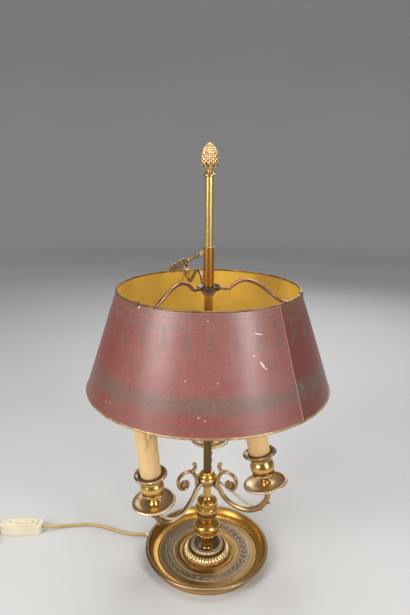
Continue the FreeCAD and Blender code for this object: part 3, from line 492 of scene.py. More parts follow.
    # wear at both edges
    edge = M.mx(M.step(s, 2.6, 0.8), M.step(s, 145.6, 147.4))
    c = M.mix(M.mul(edge, M.step(n_fine, 0.40, 0.62)), c, (0.50, 0.38, 0.24))
    M.base(c)
    r = M.add(0.33, M.mul(M.step(n_fine, 0.36, 0.7), 0.15))
    r = M.add(r, M.mul(M.mul(ink, worn), 0.10))
    M.rough(M.add(r, M.mul(chips, 0.2)))
    h = M.add(M.mul(n_grain, 0.25), M.mul(n_fine, 0.45))
    h = M.add(h, M.mul(M.mul(ink, worn), 0.35))
    h = M.sub(h, M.mul(chips, 1.0))
    M.normal(M.bump(h, 0.22, 0.0003))
    return M.m


def shade_inside():
    M = Mat("shade_inside", rough=0.5, Specular_IOR_Level=0.4)
    x, y, z = M.xyz()
    az = M.mul(M.math("ARCTAN2", y, x), 180.0 / PI)
    n1 = M.noise(16.0, 5.0, 0.6)
    n2 = M.noise(300.0, 5.0, 0.7)
    c = M.mix(M.step(n1, 0.35, 0.68), (0.80, 0.50, 0.060), (0.68, 0.39, 0.045))
    c = M.mix(M.mul(M.step(n2, 0.56, 0.76), 0.35), c, (0.42, 0.23, 0.05))
    seam = M.step(M.math("ABSOLUTE", M.sub(az, 154.0)), 1.0, 0.6)
    c = M.mix(M.mul(seam, 0.45), c, (0.36, 0.20, 0.05))
    burn = M.mul(M.step(z, 400.0, 440.0), M.step(n1, 0.5, 0.7))
    c = M.mix(M.mul(burn, 0.3), c, (0.35, 0.19, 0.05))
    M.base(c)
    M.rough(M.add(0.42, M.mul(n2, 0.2)))
    M.normal(M.bump(n2, 0.2, 0.0003))
    return M.m


m_shade, m_inside = shade_paint(), shade_inside()


def rim_material(name, light, deep):
    M = Mat(name, metallic=0.75)
    n1 = M.noise(60.0, 5.0, 0.65)
    n2 = M.noise(520.0, 5.0, 0.7)
    c = M.mix(M.step(n1, 0.38, 0.64), light, deep)
    c = M.mix(M.mul(M.step(n2, 0.5, 0.72), 0.6), c, (0.13, 0.06, 0.035))
    M.base(c)
    M.rough(M.add(0.34, M.mul(n2, 0.2)))
    M.normal(M.bump(n2, 0.25, 0.0003))
    return M.m


m_rim_top = rim_material("rim_top", (0.34, 0.20, 0.09), (0.17, 0.08, 0.04))
m_rim_bottom = rim_material("rim_bottom", (0.66, 0.47, 0.27), (0.42, 0.25, 0.12))


# ------------------------------------------------------------------ candles, flex, plastics, felt
def candle_material():
    M = Mat("candle_wax", rough=0.5, Specular_IOR_Level=0.42, Subsurface_Weight=0.10, Subsurface_Scale=0.004)
    x, y, z = M.xyz()
    n1 = M.noise(30.0, 4.0, 0.6)
    n2 = M.noise(420.0, 5.0, 0.7)
    n3 = M.noise(1.0, 3.0, 0.6, M.scaled(90.0, 90.0, 14.0))
    c = M.mix(M.step(n1, 0.35, 0.68), (0.87, 0.60, 0.295), (0.79, 0.515, 0.23))
    c = M.mix(M.mul(M.step(n3, 0.5, 0.75), 0.35), c, (0.66, 0.40, 0.155))
    c = M.mix(M.mul(M.step(n2, 0.60, 0.78), 0.30), c, (0.44, 0.25, 0.09))
    c = M.mix(M.step(M.ao(0.0036, 8), 0.92, 0.58), c, (0.24, 0.095, 0.022))
    M.base(c)
    M.rough(M.add(0.40, M.mul(n2, 0.2)))
    M.normal(M.bump(M.add(M.mul(n2, 0.5), M.mul(n3, 0.5)), 0.25, 0.0003))
    return M.m


def plastic(name, col, deep, rough=0.3, scale=60.0, bump=0.12, cavity=0.5, spec=0.5):
    M = Mat(name, rough=rough, Specular_IOR_Level=spec)
    n1 = M.noise(scale, 4.0, 0.6)
    n2 = M.noise(900.0, 4.0, 0.65)
    c = M.mix(M.mul(M.step(n1, 0.38, 0.70), 0.6), col, deep)
    c = M.mix(M.mul(M.step(n2, 0.60, 0.75), 0.3), c, deep)
    c = M.mix(M.mul(M.step(M.ao(0.002), 0.85, 0.4), cavity), c, tuple(v * 0.25 for v in deep))
    M.base(c)
    M.rough(M.add(rough, M.mul(M.sub(n2, 0.5), 0.16)))
    M.normal(M.bump(n2, bump, 0.0002))
    return M.m


m_candle = candle_material()
m_black = plastic("holder_black", (0.028, 0.027, 0.026), (0.05, 0.047, 0.043), 0.36)
m_ivory = plastic("ivory", (0.82, 0.75, 0.57), (0.74, 0.63, 0.42), 0.27, 40.0)
m_rocker = plastic("ivory_rocker", (0.86, 0.80, 0.64), (0.78, 0.68, 0.48), 0.25, 40.0)
m_wire = plastic("wire_cream", (0.55, 0.51, 0.37), (0.40, 0.35, 0.21), 0.38, 50.0)
m_band = plastic("tie_band", (0.60, 0.57, 0.50), (0.45, 0.42, 0.36), 0.4)
m_felt = None


def cord_material():
    """twin flex in gold-beige sheathing, faintly mottled"""
    M = Mat("cord_gold", rough=0.36, Specular_IOR_Level=0.5, Coat_Weight=0.15, Coat_Roughness=0.3)
    n1 = M.noise(34.0, 4.0, 0.6)
    n2 = M.noise(800.0, 4.0, 0.65)
    c = M.mix(M.step(n1, 0.36, 0.68), (0.58, 0.40, 0.155), (0.47, 0.30, 0.10))
    c = M.mix(M.mul(M.step(n2, 0.56, 0.74), 0.4), c, (0.30, 0.185, 0.07))
    M.base(c)
    M.rough(M.add(0.30, M.mul(n2, 0.18)))
    M.normal(M.bump(n2, 0.15, 0.0002))
    return M.m


def felt_material():
    M = Mat("felt_green", rough=0.95, Specular_IOR_Level=0.1, Sheen_Weight=0.4)
    n1 = M.noise(90.0, 4.0, 0.6)
    n2 = M.noise(1400.0, 6.0, 0.8)
    c = M.mix(M.step(n2, 0.35, 0.7), (0.035, 0.085, 0.045), (0.075, 0.145, 0.08))
    c = M.mix(M.mul(n1, 0.4), c, (0.10, 0.115, 0.07))
    M.base(c)
    M.normal(M.bump(n2, 0.6, 0.0005))
    return M.m


def steel_material(name, col, rough):
    M = Mat(name, metallic=1.0)
    n1 = M.noise(80.0, 4.0, 0.6)
    n2 = M.noise(900.0, 4.0, 0.65)
    c = M.mix(M.step(n1, 0.4, 0.7), col, tuple(v * 0.7 for v in col))
    c = M.mix(M.mul(M.step(M.ao(0.002), 0.85, 0.4), 0.6), c, (0.06, 0.05, 0.04))
    M.base(c)
    M.rough(M.add(rough, M.mul(n2, 0.14)))
    M.normal(M.bump(n2, 0.12, 0.0002))
    return M.m


def glass_material():
    M = Mat("bulb_glass", rough=0.03, Transmission_Weight=1.0, IOR=1.45)
    n1 = M.noise(60.0, 3.0, 0.5)
    M.base(M.mix(n1, (0.99, 0.985, 0.97), (0.94, 0.93, 0.90)))
    M.rough(M.add(0.02, M.mul(M.step(n1, 0.45, 0.8), 0.06)))
    return M.m


m_cord = cord_material()
m_felt = felt_material()
m_steel = steel_material("steel_inner", (0.56, 0.54, 0.50), 0.28)
m_pin = steel_material("steel_pin", (0.78, 0.75, 0.69), 0.16)
m_glass = glass_material()
m_filament = steel_material("filament", (0.42, 0.40, 0.38), 0.3)


# ------------------------------------------------------------------ mesh helpers
def through(pts, per=8):
    """points of a smooth curve through pts"""
    P = np.asarray(pts, float)
    n = len(P)
    if n < 3:
        t = np.linspace(0, 1, per + 1)[:, None]
        return P[0] * (1 - t) + P[-1] * t
    Q = np.vstack([2 * P[0] - P[1], P, 2 * P[-1] - P[-2]])
    out = []
    for i in range(1, n):
        p0, p1, p2, p3 = Q[i - 1], Q[i], Q[i + 1], Q[i + 2]
        t0 = 0.0
        t1 = t0 + max(np.linalg.norm(p1 - p0), 1e-9) ** 0.5
        t2 = t1 + max(np.linalg.norm(p2 - p1), 1e-9) ** 0.5
        t3 = t2 + max(np.linalg.norm(p3 - p2), 1e-9) ** 0.5
        t = np.linspace(t1, t2, per, endpoint=False)[:, None]
        a1 = (t1 - t) / (t1 - t0) * p0 + (t - t0) / (t1 - t0) * p1
        a2 = (t2 - t) / (t2 - t1) * p1 + (t - t1) / (t2 - t1) * p2
        a3 = (t3 - t) / (t3 - t2) * p2 + (t - t2) / (t3 - t2) * p3
        b1 = (t2 - t) / (t2 - t0) * a1 + (t - t0) / (t2 - t0) * a2
        b2 = (t3 - t) / (t3 - t1) * a2 + (t - t1) / (t3 - t1) * a3
        out.append((t2 - t) / (t2 - t1) * b1 + (t - t1) / (t2 - t1) * b2)
    out.append(P[-1:])
    return np.vstack(out)


def profile(items, per=6, soft=0.3, fine=()):
    """closed outline (radius, height) in millimetres with its sharp corners slightly rounded; a list in items is
    a smooth stretch. fine holds (r0, r1, step) ranges in which straight stretches are divided."""
    P = [np.array(items[0], float)]
    for it in items[1:]:
        if isinstance(it, tuple):
            P.append(np.array(it, float))
        else:
            P += list(through([P[-1]] + [np.array(q, float) for q in it], per)[1:])
    P = [p for i, p in enumerate(P) if np.linalg.norm(p - P[i - 1]) > 1e-6]
    out = []
    n = len(P)
    for i in range(n):
        a, b, c = P[i - 1], P[i], P[(i + 1) % n]
        u, w = a - b, c - b
        lu, lw = np.linalg.norm(u), np.linalg.norm(w)
        turn = PI - math.acos(max(-1, min(1, float(u @ w) / (lu * lw))))
        if turn < 0.36 or b[0] < 1e-6:
            out.append(b)
            continue
        k = min(soft, 0.42 * lu, 0.42 * lw)
        p, q = b + u / lu * k, b + w / lw * k
        for t in (0.0, 0.25, 0.5, 0.75, 1.0):
            out.append((1 - t) ** 2 * p + 2 * t * (1 - t) * b + t * t * q)
    if fine:
        P2 = []
        n = len(out)
        for i in range(n):
            a, b = out[i], out[(i + 1) % n]
            P2.append(a)
            L = np.linalg.norm(b - a)
            mid = (a + b) / 2
            for r0, r1, z0, z1, st in fine:
                if r0 <= mid[0] <= r1 and z0 <= mid[1] <= z1 and L > st * 1.3:
                    k = int(math.ceil(L / st))
                    P2 += [a + (b - a) * j / k for j in range(1, k)]
                    break
        out = P2
    return np.array(out)


def lathe(P, segs=96, disp=None, thetas=None):
    """turned solid; disp(r, z, theta) moves its surface outwards, in millimetres"""
    P = np.asarray(P, float)
    n = len(P)
    T = np.roll(P, -1, 0) - np.roll(P, 1, 0)
    T /= np.maximum(np.linalg.norm(T, axis=1), 1e-12)[:, None]
    area = 0.5 * np.sum(P[:, 0] * np.roll(P[:, 1], -1) - np.roll(P[:, 0], -1) * P[:, 1])
    sg = 1.0 if area > 0 else -1.0
    Nn = np.stack([T[:, 1], -T[:, 0]], 1) * sg
    th = np.arange(segs) * 2 * PI / segs if thetas is None else np.asarray(thetas)
    segs = len(th)
    R = np.repeat(P[:, :1], segs, 1)
    Zz = np.repeat(P[:, 1:], segs, 1)
    TH = np.repeat(th[None, :], n, 0)
    if disp is not None:
        D = disp(R, Zz, TH)
        R, Zz = R + Nn[:, :1] * D, Zz + Nn[:, 1:] * D
    R = np.maximum(R, 0.0)
    V = np.stack([R * np.cos(TH), R * np.sin(TH), Zz], -1).reshape(-1, 3)
    I, J = np.meshgrid(np.arange(n), np.arange(segs), indexing="ij")
    I2, J2 = (I + 1) % n, (J + 1) % segs
    F = np.stack([I * segs + J, I * segs + J2, I2 * segs + J2, I2 * segs + J], -1).reshape(-1, 4)
    if sg < 0:
        F = F[:, ::-1]
    return V, F.tolist()


def sweep(path, rx, ry, m=14, side=(0, 1, 0), shape=None, cap=True):
    """tube along path: rx across (along side), ry in the plane of the path"""
    P = np.asarray(path, float)
    n = len(P)
    T = np.gradient(P, axis=0)
    T /= np.maximum(np.linalg.norm(T, axis=1), 1e-12)[:, None]
    B = np.tile(np.asarray(side, float), (n, 1))
    B -= np.sum(B * T, 1)[:, None] * T
    B /= np.maximum(np.linalg.norm(B, axis=1), 1e-12)[:, None]
    Nn = np.cross(B, T)
    rx = np.broadcast_to(np.asarray(rx, float), (n,))
    ry = np.broadcast_to(np.asarray(ry, float), (n,))
    ph = np.arange(m) * 2 * PI / m
    s = np.concatenate([[0], np.cumsum(np.linalg.norm(np.diff(P, axis=0), axis=1))])
    k = np.ones((n, m))
    if shape is not None:
        k = shape(ph[None, :] + 0 * s[:, None], s[:, None] + 0 * ph[None, :], s[-1])
    V = (P[:, None, :] + B[:, None, :] * (rx[:, None] * np.cos(ph) * k)[..., None]
         + Nn[:, None, :] * (ry[:, None] * np.sin(ph) * k)[..., None]).reshape(-1, 3)
    F = []
    for i in range(n - 1):
        for j in range(m):
            j2 = (j + 1) % m
            F.append([i * m + j, i * m + j2, (i + 1) * m + j2, (i + 1) * m + j])
    if cap:
        c0, c1 = len(V), len(V) + 1
        V = np.vstack([V, P[0], P[-1]])
        for j in range(m):
            j2 = (j + 1) % m
            F.append([c0, j2, j])
            F.append([c1, (n - 1) * m + j, (n - 1) * m + j2])
    return V, F


def ball(c, r, squash=(1, 1, 1), nu=18, nv=12):
    V, F = [], []
    for i in range(1, nv):
        a = PI * i / nv
        for j in range(nu):
            b = 2 * PI * j / nu
            V.append([math.sin(a) * math.cos(b), math.sin(a) * math.sin(b), math.cos(a)])
    top, bot = len(V), len(V) + 1
    V += [[0, 0, 1], [0, 0, -1]]
    for i in range(nv - 2):
        for j in range(nu):
            j2 = (j + 1) % nu
            F.append([i * nu + j, (i + 1) * nu + j, (i + 1) * nu + j2, i * nu + j2])
    for j in range(nu):
        j2 = (j + 1) % nu
        F.append([top, j, j2])
        F.append([bot, (nv - 2) * nu + j2, (nv - 2) * nu + j])
    return np.array(V) * np.array(squash) * r + np.array(c, float), F


def moved(VF, M4):
    V, F = VF
    A = np.array(M4)
    return V @ A[:3, :3].T + A[:3, 3], F


def rot_z(deg):
    return np.array(Matrix.Rotation(math.radians(deg), 4, "Z"))


class Piece:
    """gathers stretches of surface, in millimetres, into one object"""

    def __init__(self):
        self.V, self.F, self.K, self.n = [], [], [], 0

    def add(self, VF, k=0):
        V, F = VF
        self.V.append(np.asarray(V))
        n = self.n
        self.F += [[a + n for a in f] for f in F]
        self.K += [k] * len(F)
        self.n += len(V)
        return self

    def mesh(self, name, mats, angle=34.0, weld=True):
        me = bpy.data.meshes.new(name)
        V = np.vstack(self.V) * MM
        me.from_pydata(V.tolist(), [], self.F)
        for m in mats:
            me.materials.append(m)
        me.polygons.foreach_set("material_index", self.K)
        if weld:
            import bmesh
            bm = bmesh.new()
            bm.from_mesh(me)
            bmesh.ops.remove_doubles(bm, verts=bm.verts, dist=1e-7)
            bmesh.ops.dissolve_degenerate(bm, edges=bm.edges, dist=1e-8)
            bm.to_mesh(me)
            bm.free()
        me.update()
        me.polygons.foreach_set("use_smooth", [True] * len(me.polygons))
        me.set_sharp_from_angle(angle=math.radians(angle))
        me.validate()
        return me


def place(name, me, body, nodes=(), matrix=None):
    o = bpy.data.objects.new(name, me)
    scene.collection.objects.link(o)
    if matrix is not None:
        o.matrix_world = matrix
    bpy.context.view_layer.update()
    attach(o, body)
    if nodes:
        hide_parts(*nodes)
    return o


def spread(x, lo, hi):
    t = np.clip((x - lo) / (hi - lo), 0, 1)
    return t * t * (3 - 2 * t)


# ------------------------------------------------------------------ base dish
DISH = [
    (5.2, 3.2), (84.0, 3.2), (84.0, 0.0), (89.0, 0.0),
    [(90.4, 3.5), (93.0, 8.0), (95.2, 12.2)],
    (96.6, 12.4), [(98.4, 13.6), (99.0, 15.6), (98.4, 17.6), (96.4, 18.7)],
    (94.4, 18.2),
    [(92.6, 14.0), (90.0, 9.8), (86.0, 6.8), (80.0, 5.0)],
    (78.6, 5.0), (78.2, 5.35), (76.9, 5.35), (76.5, 5.0), (68.9, 5.0), (68.2, 5.5), (66.9, 5.5), (66.6, 5.1), (55.8, 5.1),
    (55.5, 5.5), (54.2, 5.5), (53.8, 4.6), (45.6, 4.6), (45.2, 5.4), (42.6, 5.4), (42.2, 5.0), (5.2, 5.0),
]


def dish_relief(R, Zz, TH):
    D = np.zeros_like(R)
    top = (Zz > 4.9) & (Zz < 5.6)
    # engraved frieze: leaf pairs between two fillets
    w = spread(R, 55.9, 57.2) * spread(R, 66.5, 65.2) * top
    u = (TH * 36 / (2 * PI)) % 1.0
    v = (R - 61.2) / 4.6
    lean = np.abs(v) * 0.42
    d = np.minimum(np.abs(((u - lean) % 1.0) - 0.32), np.abs(((u - lean) % 1.0) - 0.32 + 1.0)) / 0.17
    leaf = np.clip(1.0 - d ** 2, 0, 1) ** 0.6 * np.clip(1.05 - np.abs(v) ** 3, 0, 1)
    mid = np.clip(1.0 - (v / 0.10) ** 2, 0, 1)
    dot = np.clip(1.0 - ((((u - 0.82 + 0.5) % 1.0) - 0.5) / 0.10) ** 2 - ((np.abs(v) - 0.62) / 0.30) ** 2, 0, 1) ** 0.5
    D += w * 0.85 * np.maximum(np.maximum(leaf, 0.7 * mid), dot)
    # milled inner edge and beaded crest of the rim
    e = spread(Zz, 16.4, 17.4) * spread(R, 92.8, 93.9) * spread(R, 96.3, 95.2)
    D += e * 0.24 * (np.cos(TH * 170) - 0.6)
    return D


dish = Piece().add(lathe(profile(DISH, per=8, soft=0.35, fine=((54.0, 68.4, 4.9, 6.0, 0.62), (92.8, 96.6, 16.0, 19.0, 0.35))),
                         1440, dish_relief))
place("dish", dish.mesh("dish", [m_dish], 40, weld=False), "root", ("base_dish",))

# ------------------------------------------------------------------ gadrooned boss
BOSS = [
    (5.2, 8.0), (18.0, 8.0), (24.0, 6.6), (30.5, 5.0), (38.6, 5.0), (38.6, 6.4),
    [(37.6, 9.6), (35.2, 12.6), (31.6, 14.2)],
    (30.4, 14.2), (29.6, 12.6), (28.4, 12.6), (28.0, 14.8),
    [(27.2, 17.4), (25.2, 19.6), (22.8, 20.6)],
    (21.4, 20.6),
    [(17.6, 17.0), (13.4, 13.6), (10.2, 12.0)],
    (5.2, 12.0),
]


def boss_relief(R, Zz, TH):
    w = spread(R, 29.7, 30.8) * spread(R, 38.5, 37.6) * (Zz > 6.2)
    g = np.sqrt(np.abs(np.cos(TH * 20)))
    D = w * (2.0 * g - 1.8)
    # upper ring: row of small leaves
    w2 = spread(R, 21.2, 22.4) * spread(R, 28.1, 27.4) * (Zz > 13.6)
    D += w2 * 0.75 * (np.sqrt(np.abs(np.sin(TH * 18 + 0.12 * (R - 24)))) - 0.75)
    # fine beading round the foot of the gadroons
    w3 = (R > 37.9) * (Zz > 5.2) * (Zz < 7.0)
    D += w3 * 0.22 * (np.cos(TH * 90) - 0.5)
    return D


boss = Piece().add(lathe(profile(BOSS, per=12, soft=0.3), 800, boss_relief))
place("boss", boss.mesh("boss", [m_boss], 45, weld=False), "root", ("base_boss",))

# ------------------------------------------------------------------ stem: beaded ring and fluted vase
B = 5.0
ring = Piece().add(lathe(profile([(B, 38.4), (16.4, 38.4), [(17.8, 39.6), (18.4, 41.0), (17.8, 42.4), (16.6, 43.5)], (B, 43.5)], 10),
                         288, lambda R, Zz, TH: np.where(R > 16.3, -1.7 * (1 - np.sqrt(np.abs(np.cos(TH * 9)))), 0.0)))
place("beads", ring.mesh("beads", [m_gold], 50, weld=False), "root", ("bead_ring",))

VASE = [(B, 62.2), (12.8, 62.2), [(13.4, 64.6), (15.4, 69.8), (16.6, 73.6)], (17.0, 74.4), (16.8, 75.0), [(17.2, 78.0), (17.9, 81.6)],
        (18.4, 82.2), [(18.9, 83.8), (18.8, 85.8), (18.3, 87.2)], (16.6, 87.9), [(16.0, 89.0), (16.3, 90.8)], (16.2, 92.6), (B, 92.6)]


def vase_relief(R, Zz, TH):
    w = spread(Zz, 75.2, 76.0) * spread(Zz, 81.6, 80.8) * (R > 10)
    return w * 0.6 * (np.sqrt(np.abs(np.cos(TH * 15))) - 0.8)


vase = Piece().add(lathe(profile(VASE, 12, 0.25, fine=((14, 20, 74, 82.5, 0.5),)), 360, vase_relief))
place("vase", vase.mesh("vase", [m_vase], 45, weld=False), "root", ("stem_vase",))

# ------------------------------------------------------------------ pine-cone finial
CONE = [(0.0, 608.9), (6.6, 608.9), [(9.8, 611.2), (12.3, 615.8), (12.95, 621.0), (11.8, 627.0), (8.8, 633.2), (4.6, 638.4),
                                     (1.6, 640.3), (0.0, 640.6)]]


def scales(R, Zz, TH):
    v = (Zz - 609.6) / 3.35
    u = TH * 11 / (2 * PI)
    a, b = np.abs(np.sin(PI * (u + v / 2))), np.abs(np.sin(PI * (u - v / 2)))
    h = np.sqrt(a * b)
    tip = 0.28 * ((v + 0.5 * (np.floor(u + v / 2) % 2)) % 1.0)
    return spread(R, 1.0, 7.0) * spread(Zz, 609.0, 610.6) * (1.35 * h + tip * h - 1.32)


cone = Piece().add(lathe(profile(CONE, 14, 0.2), 264, scales))
for i in range(9):
    p = [(5.6, 0, 609.3), (8.4, 0, 609.4), (10.4, 0, 610.6), (11.6, 0, 613.2)]
    q = through(p, 5)
    t = np.linspace(0, 1, len(q))
    cone.add(moved(sweep(q, 2.6 * np.sin(PI * (0.22 + 0.74 * t)) ** 0.7, 0.55, 10), rot_z(i * 40)))
place("pinecone", cone.mesh("pinecone", [m_finial], 60), "root", ("finial_pinecone",))

# ------------------------------------------------------------------ arms
ARMS = {"left": (210.0, 91.7, 128.0, 5.0), "right": (330.0, 98.5, 163.0, -13.5), "rear": (87.0, 95.0, 151.0, 3.0)}
MAIN = {
    "right": [(13.6, 131.0), (21.5, 126.5), (27.0, 118.5), (35.0, 111.8), (46.0, 107.3), (58.0, 105.2), (70.0, 106.6),
              (81.0, 111.6), (90.5, 119.0), (97.5, 128.5), (101.9, 138.0)],
    "left": [(13.6, 131.0), (19.8, 122.5), (24.8, 112.5), (32.0, 102.5), (41.0, 92.8), (51.0, 85.6), (62.0, 82.6),
             (71.6, 84.2), (80.5, 90.2), (86.7, 98.6), (89.6, 107.0)],
    "rear": [(13.6, 131.0), (20.5, 124.0), (26.0, 115.0), (33.5, 107.0), (42.5, 100.6), (52.5, 96.6), (63.5, 95.6),
             (74.5, 98.8), (83.8, 105.2), (90.8, 114.4), (93.6, 126.0)],
}
SCROLL = [(17.8, 129.0), (18.6, 134.0), (19.0, 141.0), (21.4, 149.0), (26.0, 156.2), (34.0, 160.2), (43.0, 158.6), (49.6, 152.4),
          (50.8, 143.4), (47.2, 135.4), (40.2, 132.0), (34.4, 135.4), (34.2, 141.6), (37.4, 145.4)]
LEAF = [(31.0, 159.6), (27.0, 158.6), (23.2, 160.6), (20.9, 164.6), (21.4, 168.6), (23.4, 170.4)]


def arm_piece(name):
    az, pr, pz, tilt = ARMS[name]
    t = math.radians(tilt)
    d = np.array([math.sin(t), 0, math.cos(t)])
    c = np.array([pr, 0, pz])
    end = c - d * 12.0
    pts = [(r, 0, z) for r, z in MAIN[name]] + [tuple(end)]
    P = Piece()
    path = through(pts, 14)
    k = np.linspace(0, 1, len(path))
    # ribbed bar: a groove down each side, fine rings over the outer half
    def ribs(ph, s, L):
        g = 1.0 + 0.10 * np.cos(2 * ph) ** 2 - 0.13 * np.exp(-((np.abs(np.cos(ph)) - 1.0) / 0.09) ** 2)
        return g + 0.035 * spread(s, 0.30 * L, 0.42 * L) * np.cos(s * 3.1)
    P.add(sweep(path, 3.4 + 0.3 * np.sin(PI * k), 3.8 + 0.5 * np.exp(-((k - 0.02) / 0.08) ** 2), 28, shape=ribs))
    # scroll with a flat ribbon section
    sp = through([(r, 0, z) for r, z in SCROLL], 12)
    ks = np.linspace(0, 1, len(sp))
    w = np.interp(ks, [0, 0.12, 0.35, 0.6, 0.85, 1.0], [3.4, 3.2, 2.9, 3.1, 2.9, 2.0])
    h = np.interp(ks, [0, 0.12, 0.35, 0.6, 0.85, 1.0], [3.0, 2.7, 2.4, 2.5, 2.2, 1.4])
    P.add(sweep(sp, w, h, 22, shape=lambda ph, s, L: 1.0 + 0.13 * np.cos(2 * ph) ** 2 - 0.14 * np.exp(-((np.abs(np.cos(ph)) - 1.0) / 0.07) ** 2)))
    # volute disc with concentric steps
    eye = [(0.0, -2.6), (1.4, -2.9), (1.5, -2.3), (2.2, -2.2), (2.3, -2.8), (3.5, -2.8), (3.6, -2.1), (4.3, -2.1), (4.4, -2.6), (5.3, -2.3),
           (5.6, -1.4), (5.6, 1.4), (5.3, 2.3), (4.4, 2.6), (4.3, 2.1), (3.6, 2.1), (3.5, 2.8), (2.3, 2.8), (2.2, 2.2), (1.5, 2.3), (1.4, 2.9), (0.0, 2.6)]
    M4 = Matrix.Translation((41.0, 0, 140.6)) @ Matrix.Rotation(PI / 2, 4, "X")
    P.add(moved(lathe(profile(eye, 2, 0.2), 40), M4))
    # curled leaf at the top, with a rolled tip
    lp = through([(r, 0, z) for r, z in LEAF], 9)
    kl = np.linspace(0, 1, len(lp))
    P.add(sweep(lp, np.interp(kl, [0, 0.4, 1.0], [3.0, 3.3, 3.0]), np.interp(kl, [0, 0.4, 0.85, 1.0], [2.6, 2.2, 2.1, 2.2]), 20,
                shape=lambda ph, s, L: 1.0 + 0.10 * np.cos(3 * ph)))
    P.add(ball((22.8, 0, 169.8), 3.2, (1.05, 1.1, 1.0), 18, 12))
    P.add(ball((25.6, 0, 159.0), 3.1, (1.2, 1.05, 0.95), 16, 10))
    # root plate against the hub
    q = through([(15.6, 0, 128.2), (16.6, 0, 131.0), (17.2, 0, 134.0), (17.4, 0, 137.6), (17.8, 0, 141.0)], 5)
    P.add(sweep(q, 3.7, np.interp(np.linspace(0, 1, len(q)), [0, 0.5, 1], [2.2, 3.0, 2.2]), 18))
    # boss below the pan: vase-shaped with a collar
    tb = [(0.0, -18.6), (2.6, -18.2), [(4.6, -16.6), (5.6, -13.6), (5.0, -10.6)], (3.9, -9.2), [(4.3, -7.8), (6.4, -6.6)], (7.6, -5.8),
          [(8.0, -4.6), (7.6, -3.4)], (6.0, -3.0), (0.0, -3.0)]
    M5 = Matrix.Translation(tuple(c)) @ Matrix.Rotation(t, 4, "Y")
    P.add(moved(lathe(profile(tb, 6, 0.3), 48, lambda R, Zz, TH: np.where((Zz < -9) & (R > 2.5), 0.22 * np.cos(TH * 12), 0.0)), M5))
    # acanthus: lobes that wrap the outer end and turn their tips outwards
    n = len(path)
    def at(f):
        i = int(f * (n - 1))
        T = path[min(i + 1, n - 1)] - path[max(i - 1, 0)]
        T /= np.linalg.norm(T)
        out = np.array([T[2], 0, -T[0]])
        return path[i], T, out
    for f, reach, rise, wd in ((0.72, 7.2, 2.0, 2.9), (0.86, 7.8, 3.2, 3.0)):
        p0, T, out = at(f)
        q = through([p0 - T * 9.0 + out * 1.6, p0 - T * 3.0 + out * 3.0, p0 + T * rise * 0.4 + out * 3.9, p0 + T * rise + out * reach], 6)
        kk = np.linspace(0, 1, len(q))
        P.add(sweep(q, wd * np.sin(PI * (0.18 + 0.78 * kk)) ** 0.8, 0.95 * (1 - 0.55 * kk), 12))
    for sgn in (-1, 1):
        for f in (0.60, 0.70, 0.80, 0.90):
            p0, T, out = at(f)
            sd = np.array([0, sgn, 0])
            q = through([p0 - T * 5.0 + sd * 2.3 + out * 0.8, p0 + sd * 3.5 + out * 0.3, p0 + T * 4.4 + sd * 4.0 - out * 1.6], 6)
            kk = np.linspace(0, 1, len(q))
            P.add(sweep(q, 0.75, 2.2 * np.sin(PI * (0.15 + 0.8 * kk)) ** 0.8, 10, side=(0, 1, 0)))
    me = P.mesh("arm_" + name, [m_arm], 50)
    return place("arm_" + name + "_cast", me, "root", ("arm_" + name,), Matrix.Rotation(math.radians(az), 4, "Z"))


for nm in ARMS:
    arm_piece(nm)

# ------------------------------------------------------------------ pans, sockets, candles and bulbs, in the candle's own frame
PAN = [(3.05, -3.0), (9.0, -3.0), [(17.0, -3.2), (24.0, -2.4), (29.6, -0.6)],
       (31.6, -0.6), [(32.6, 0.6), (32.4, 2.0), (31.4, 3.0)], (30.4, 3.3),
       [(28.8, 3.3), (27.2, 2.4)], [(22.0, 0.3), (15.0, -0.6), (10.0, -0.4)], (9.0, 0.0), (3.05, 0.0)]


def pan_relief(R, Zz, TH):
    w = spread(R, 28.2, 29.2) * (Zz > -0.4)
    d = w * 0.42 * (np.sqrt(np.abs(np.sin(TH * 22 + 0.25 * (R - 30)))) - 0.66)
    w2 = spread(R, 25.2, 25.6) * spread(R, 26.9, 26.4) * (Zz > 0.3)
    return d + w2 * 0.14


pan_me = Piece().add(lathe(profile(PAN, 9, 0.3), 528, pan_relief)).mesh("pan", [m_pan], 45, weld=False)
CUP = [(3.05, 0.0), (8.6, 0.0), [(7.6, 1.2), (6.2, 3.0), (5.6, 6.4), (6.2, 9.8), (8.4, 12.0)],
       (12.0, 13.2), [(15.4, 14.2), (16.6, 15.8), (15.8, 17.4)], (14.6, 18.0),
       [(16.4, 21.2), (17.8, 26.6), (17.0, 31.8), (14.9, 36.2), (14.8, 39.6)],
       [(17.6, 43.6), (22.6, 45.8)], (24.2, 46.6), [(24.6, 48.2), (23.6, 49.8)], (22.0, 50.0),
       [(19.6, 48.9), (17.1, 48.4)], (17.1, 44.0), (12.6, 44.0), (12.6, 22.0), (3.05, 22.0)]


def cup_relief(R, Zz, TH):
    w = spread(R, 22.6, 23.4) * (Zz > 46.4)
    d = w * 0.22 * (np.cos(TH * 48) - 0.7)
    w2 = spread(R, 15.4, 16.0) * (Zz > 14.0) * (Zz < 17.6)
    return d + w2 * 0.16 * (np.cos(TH * 36) - 0.7)


cup_me = Piece().add(lathe(profile(CUP, 9, 0.3), 384, cup_relief)).mesh("cup", [m_cup], 45, weld=False)


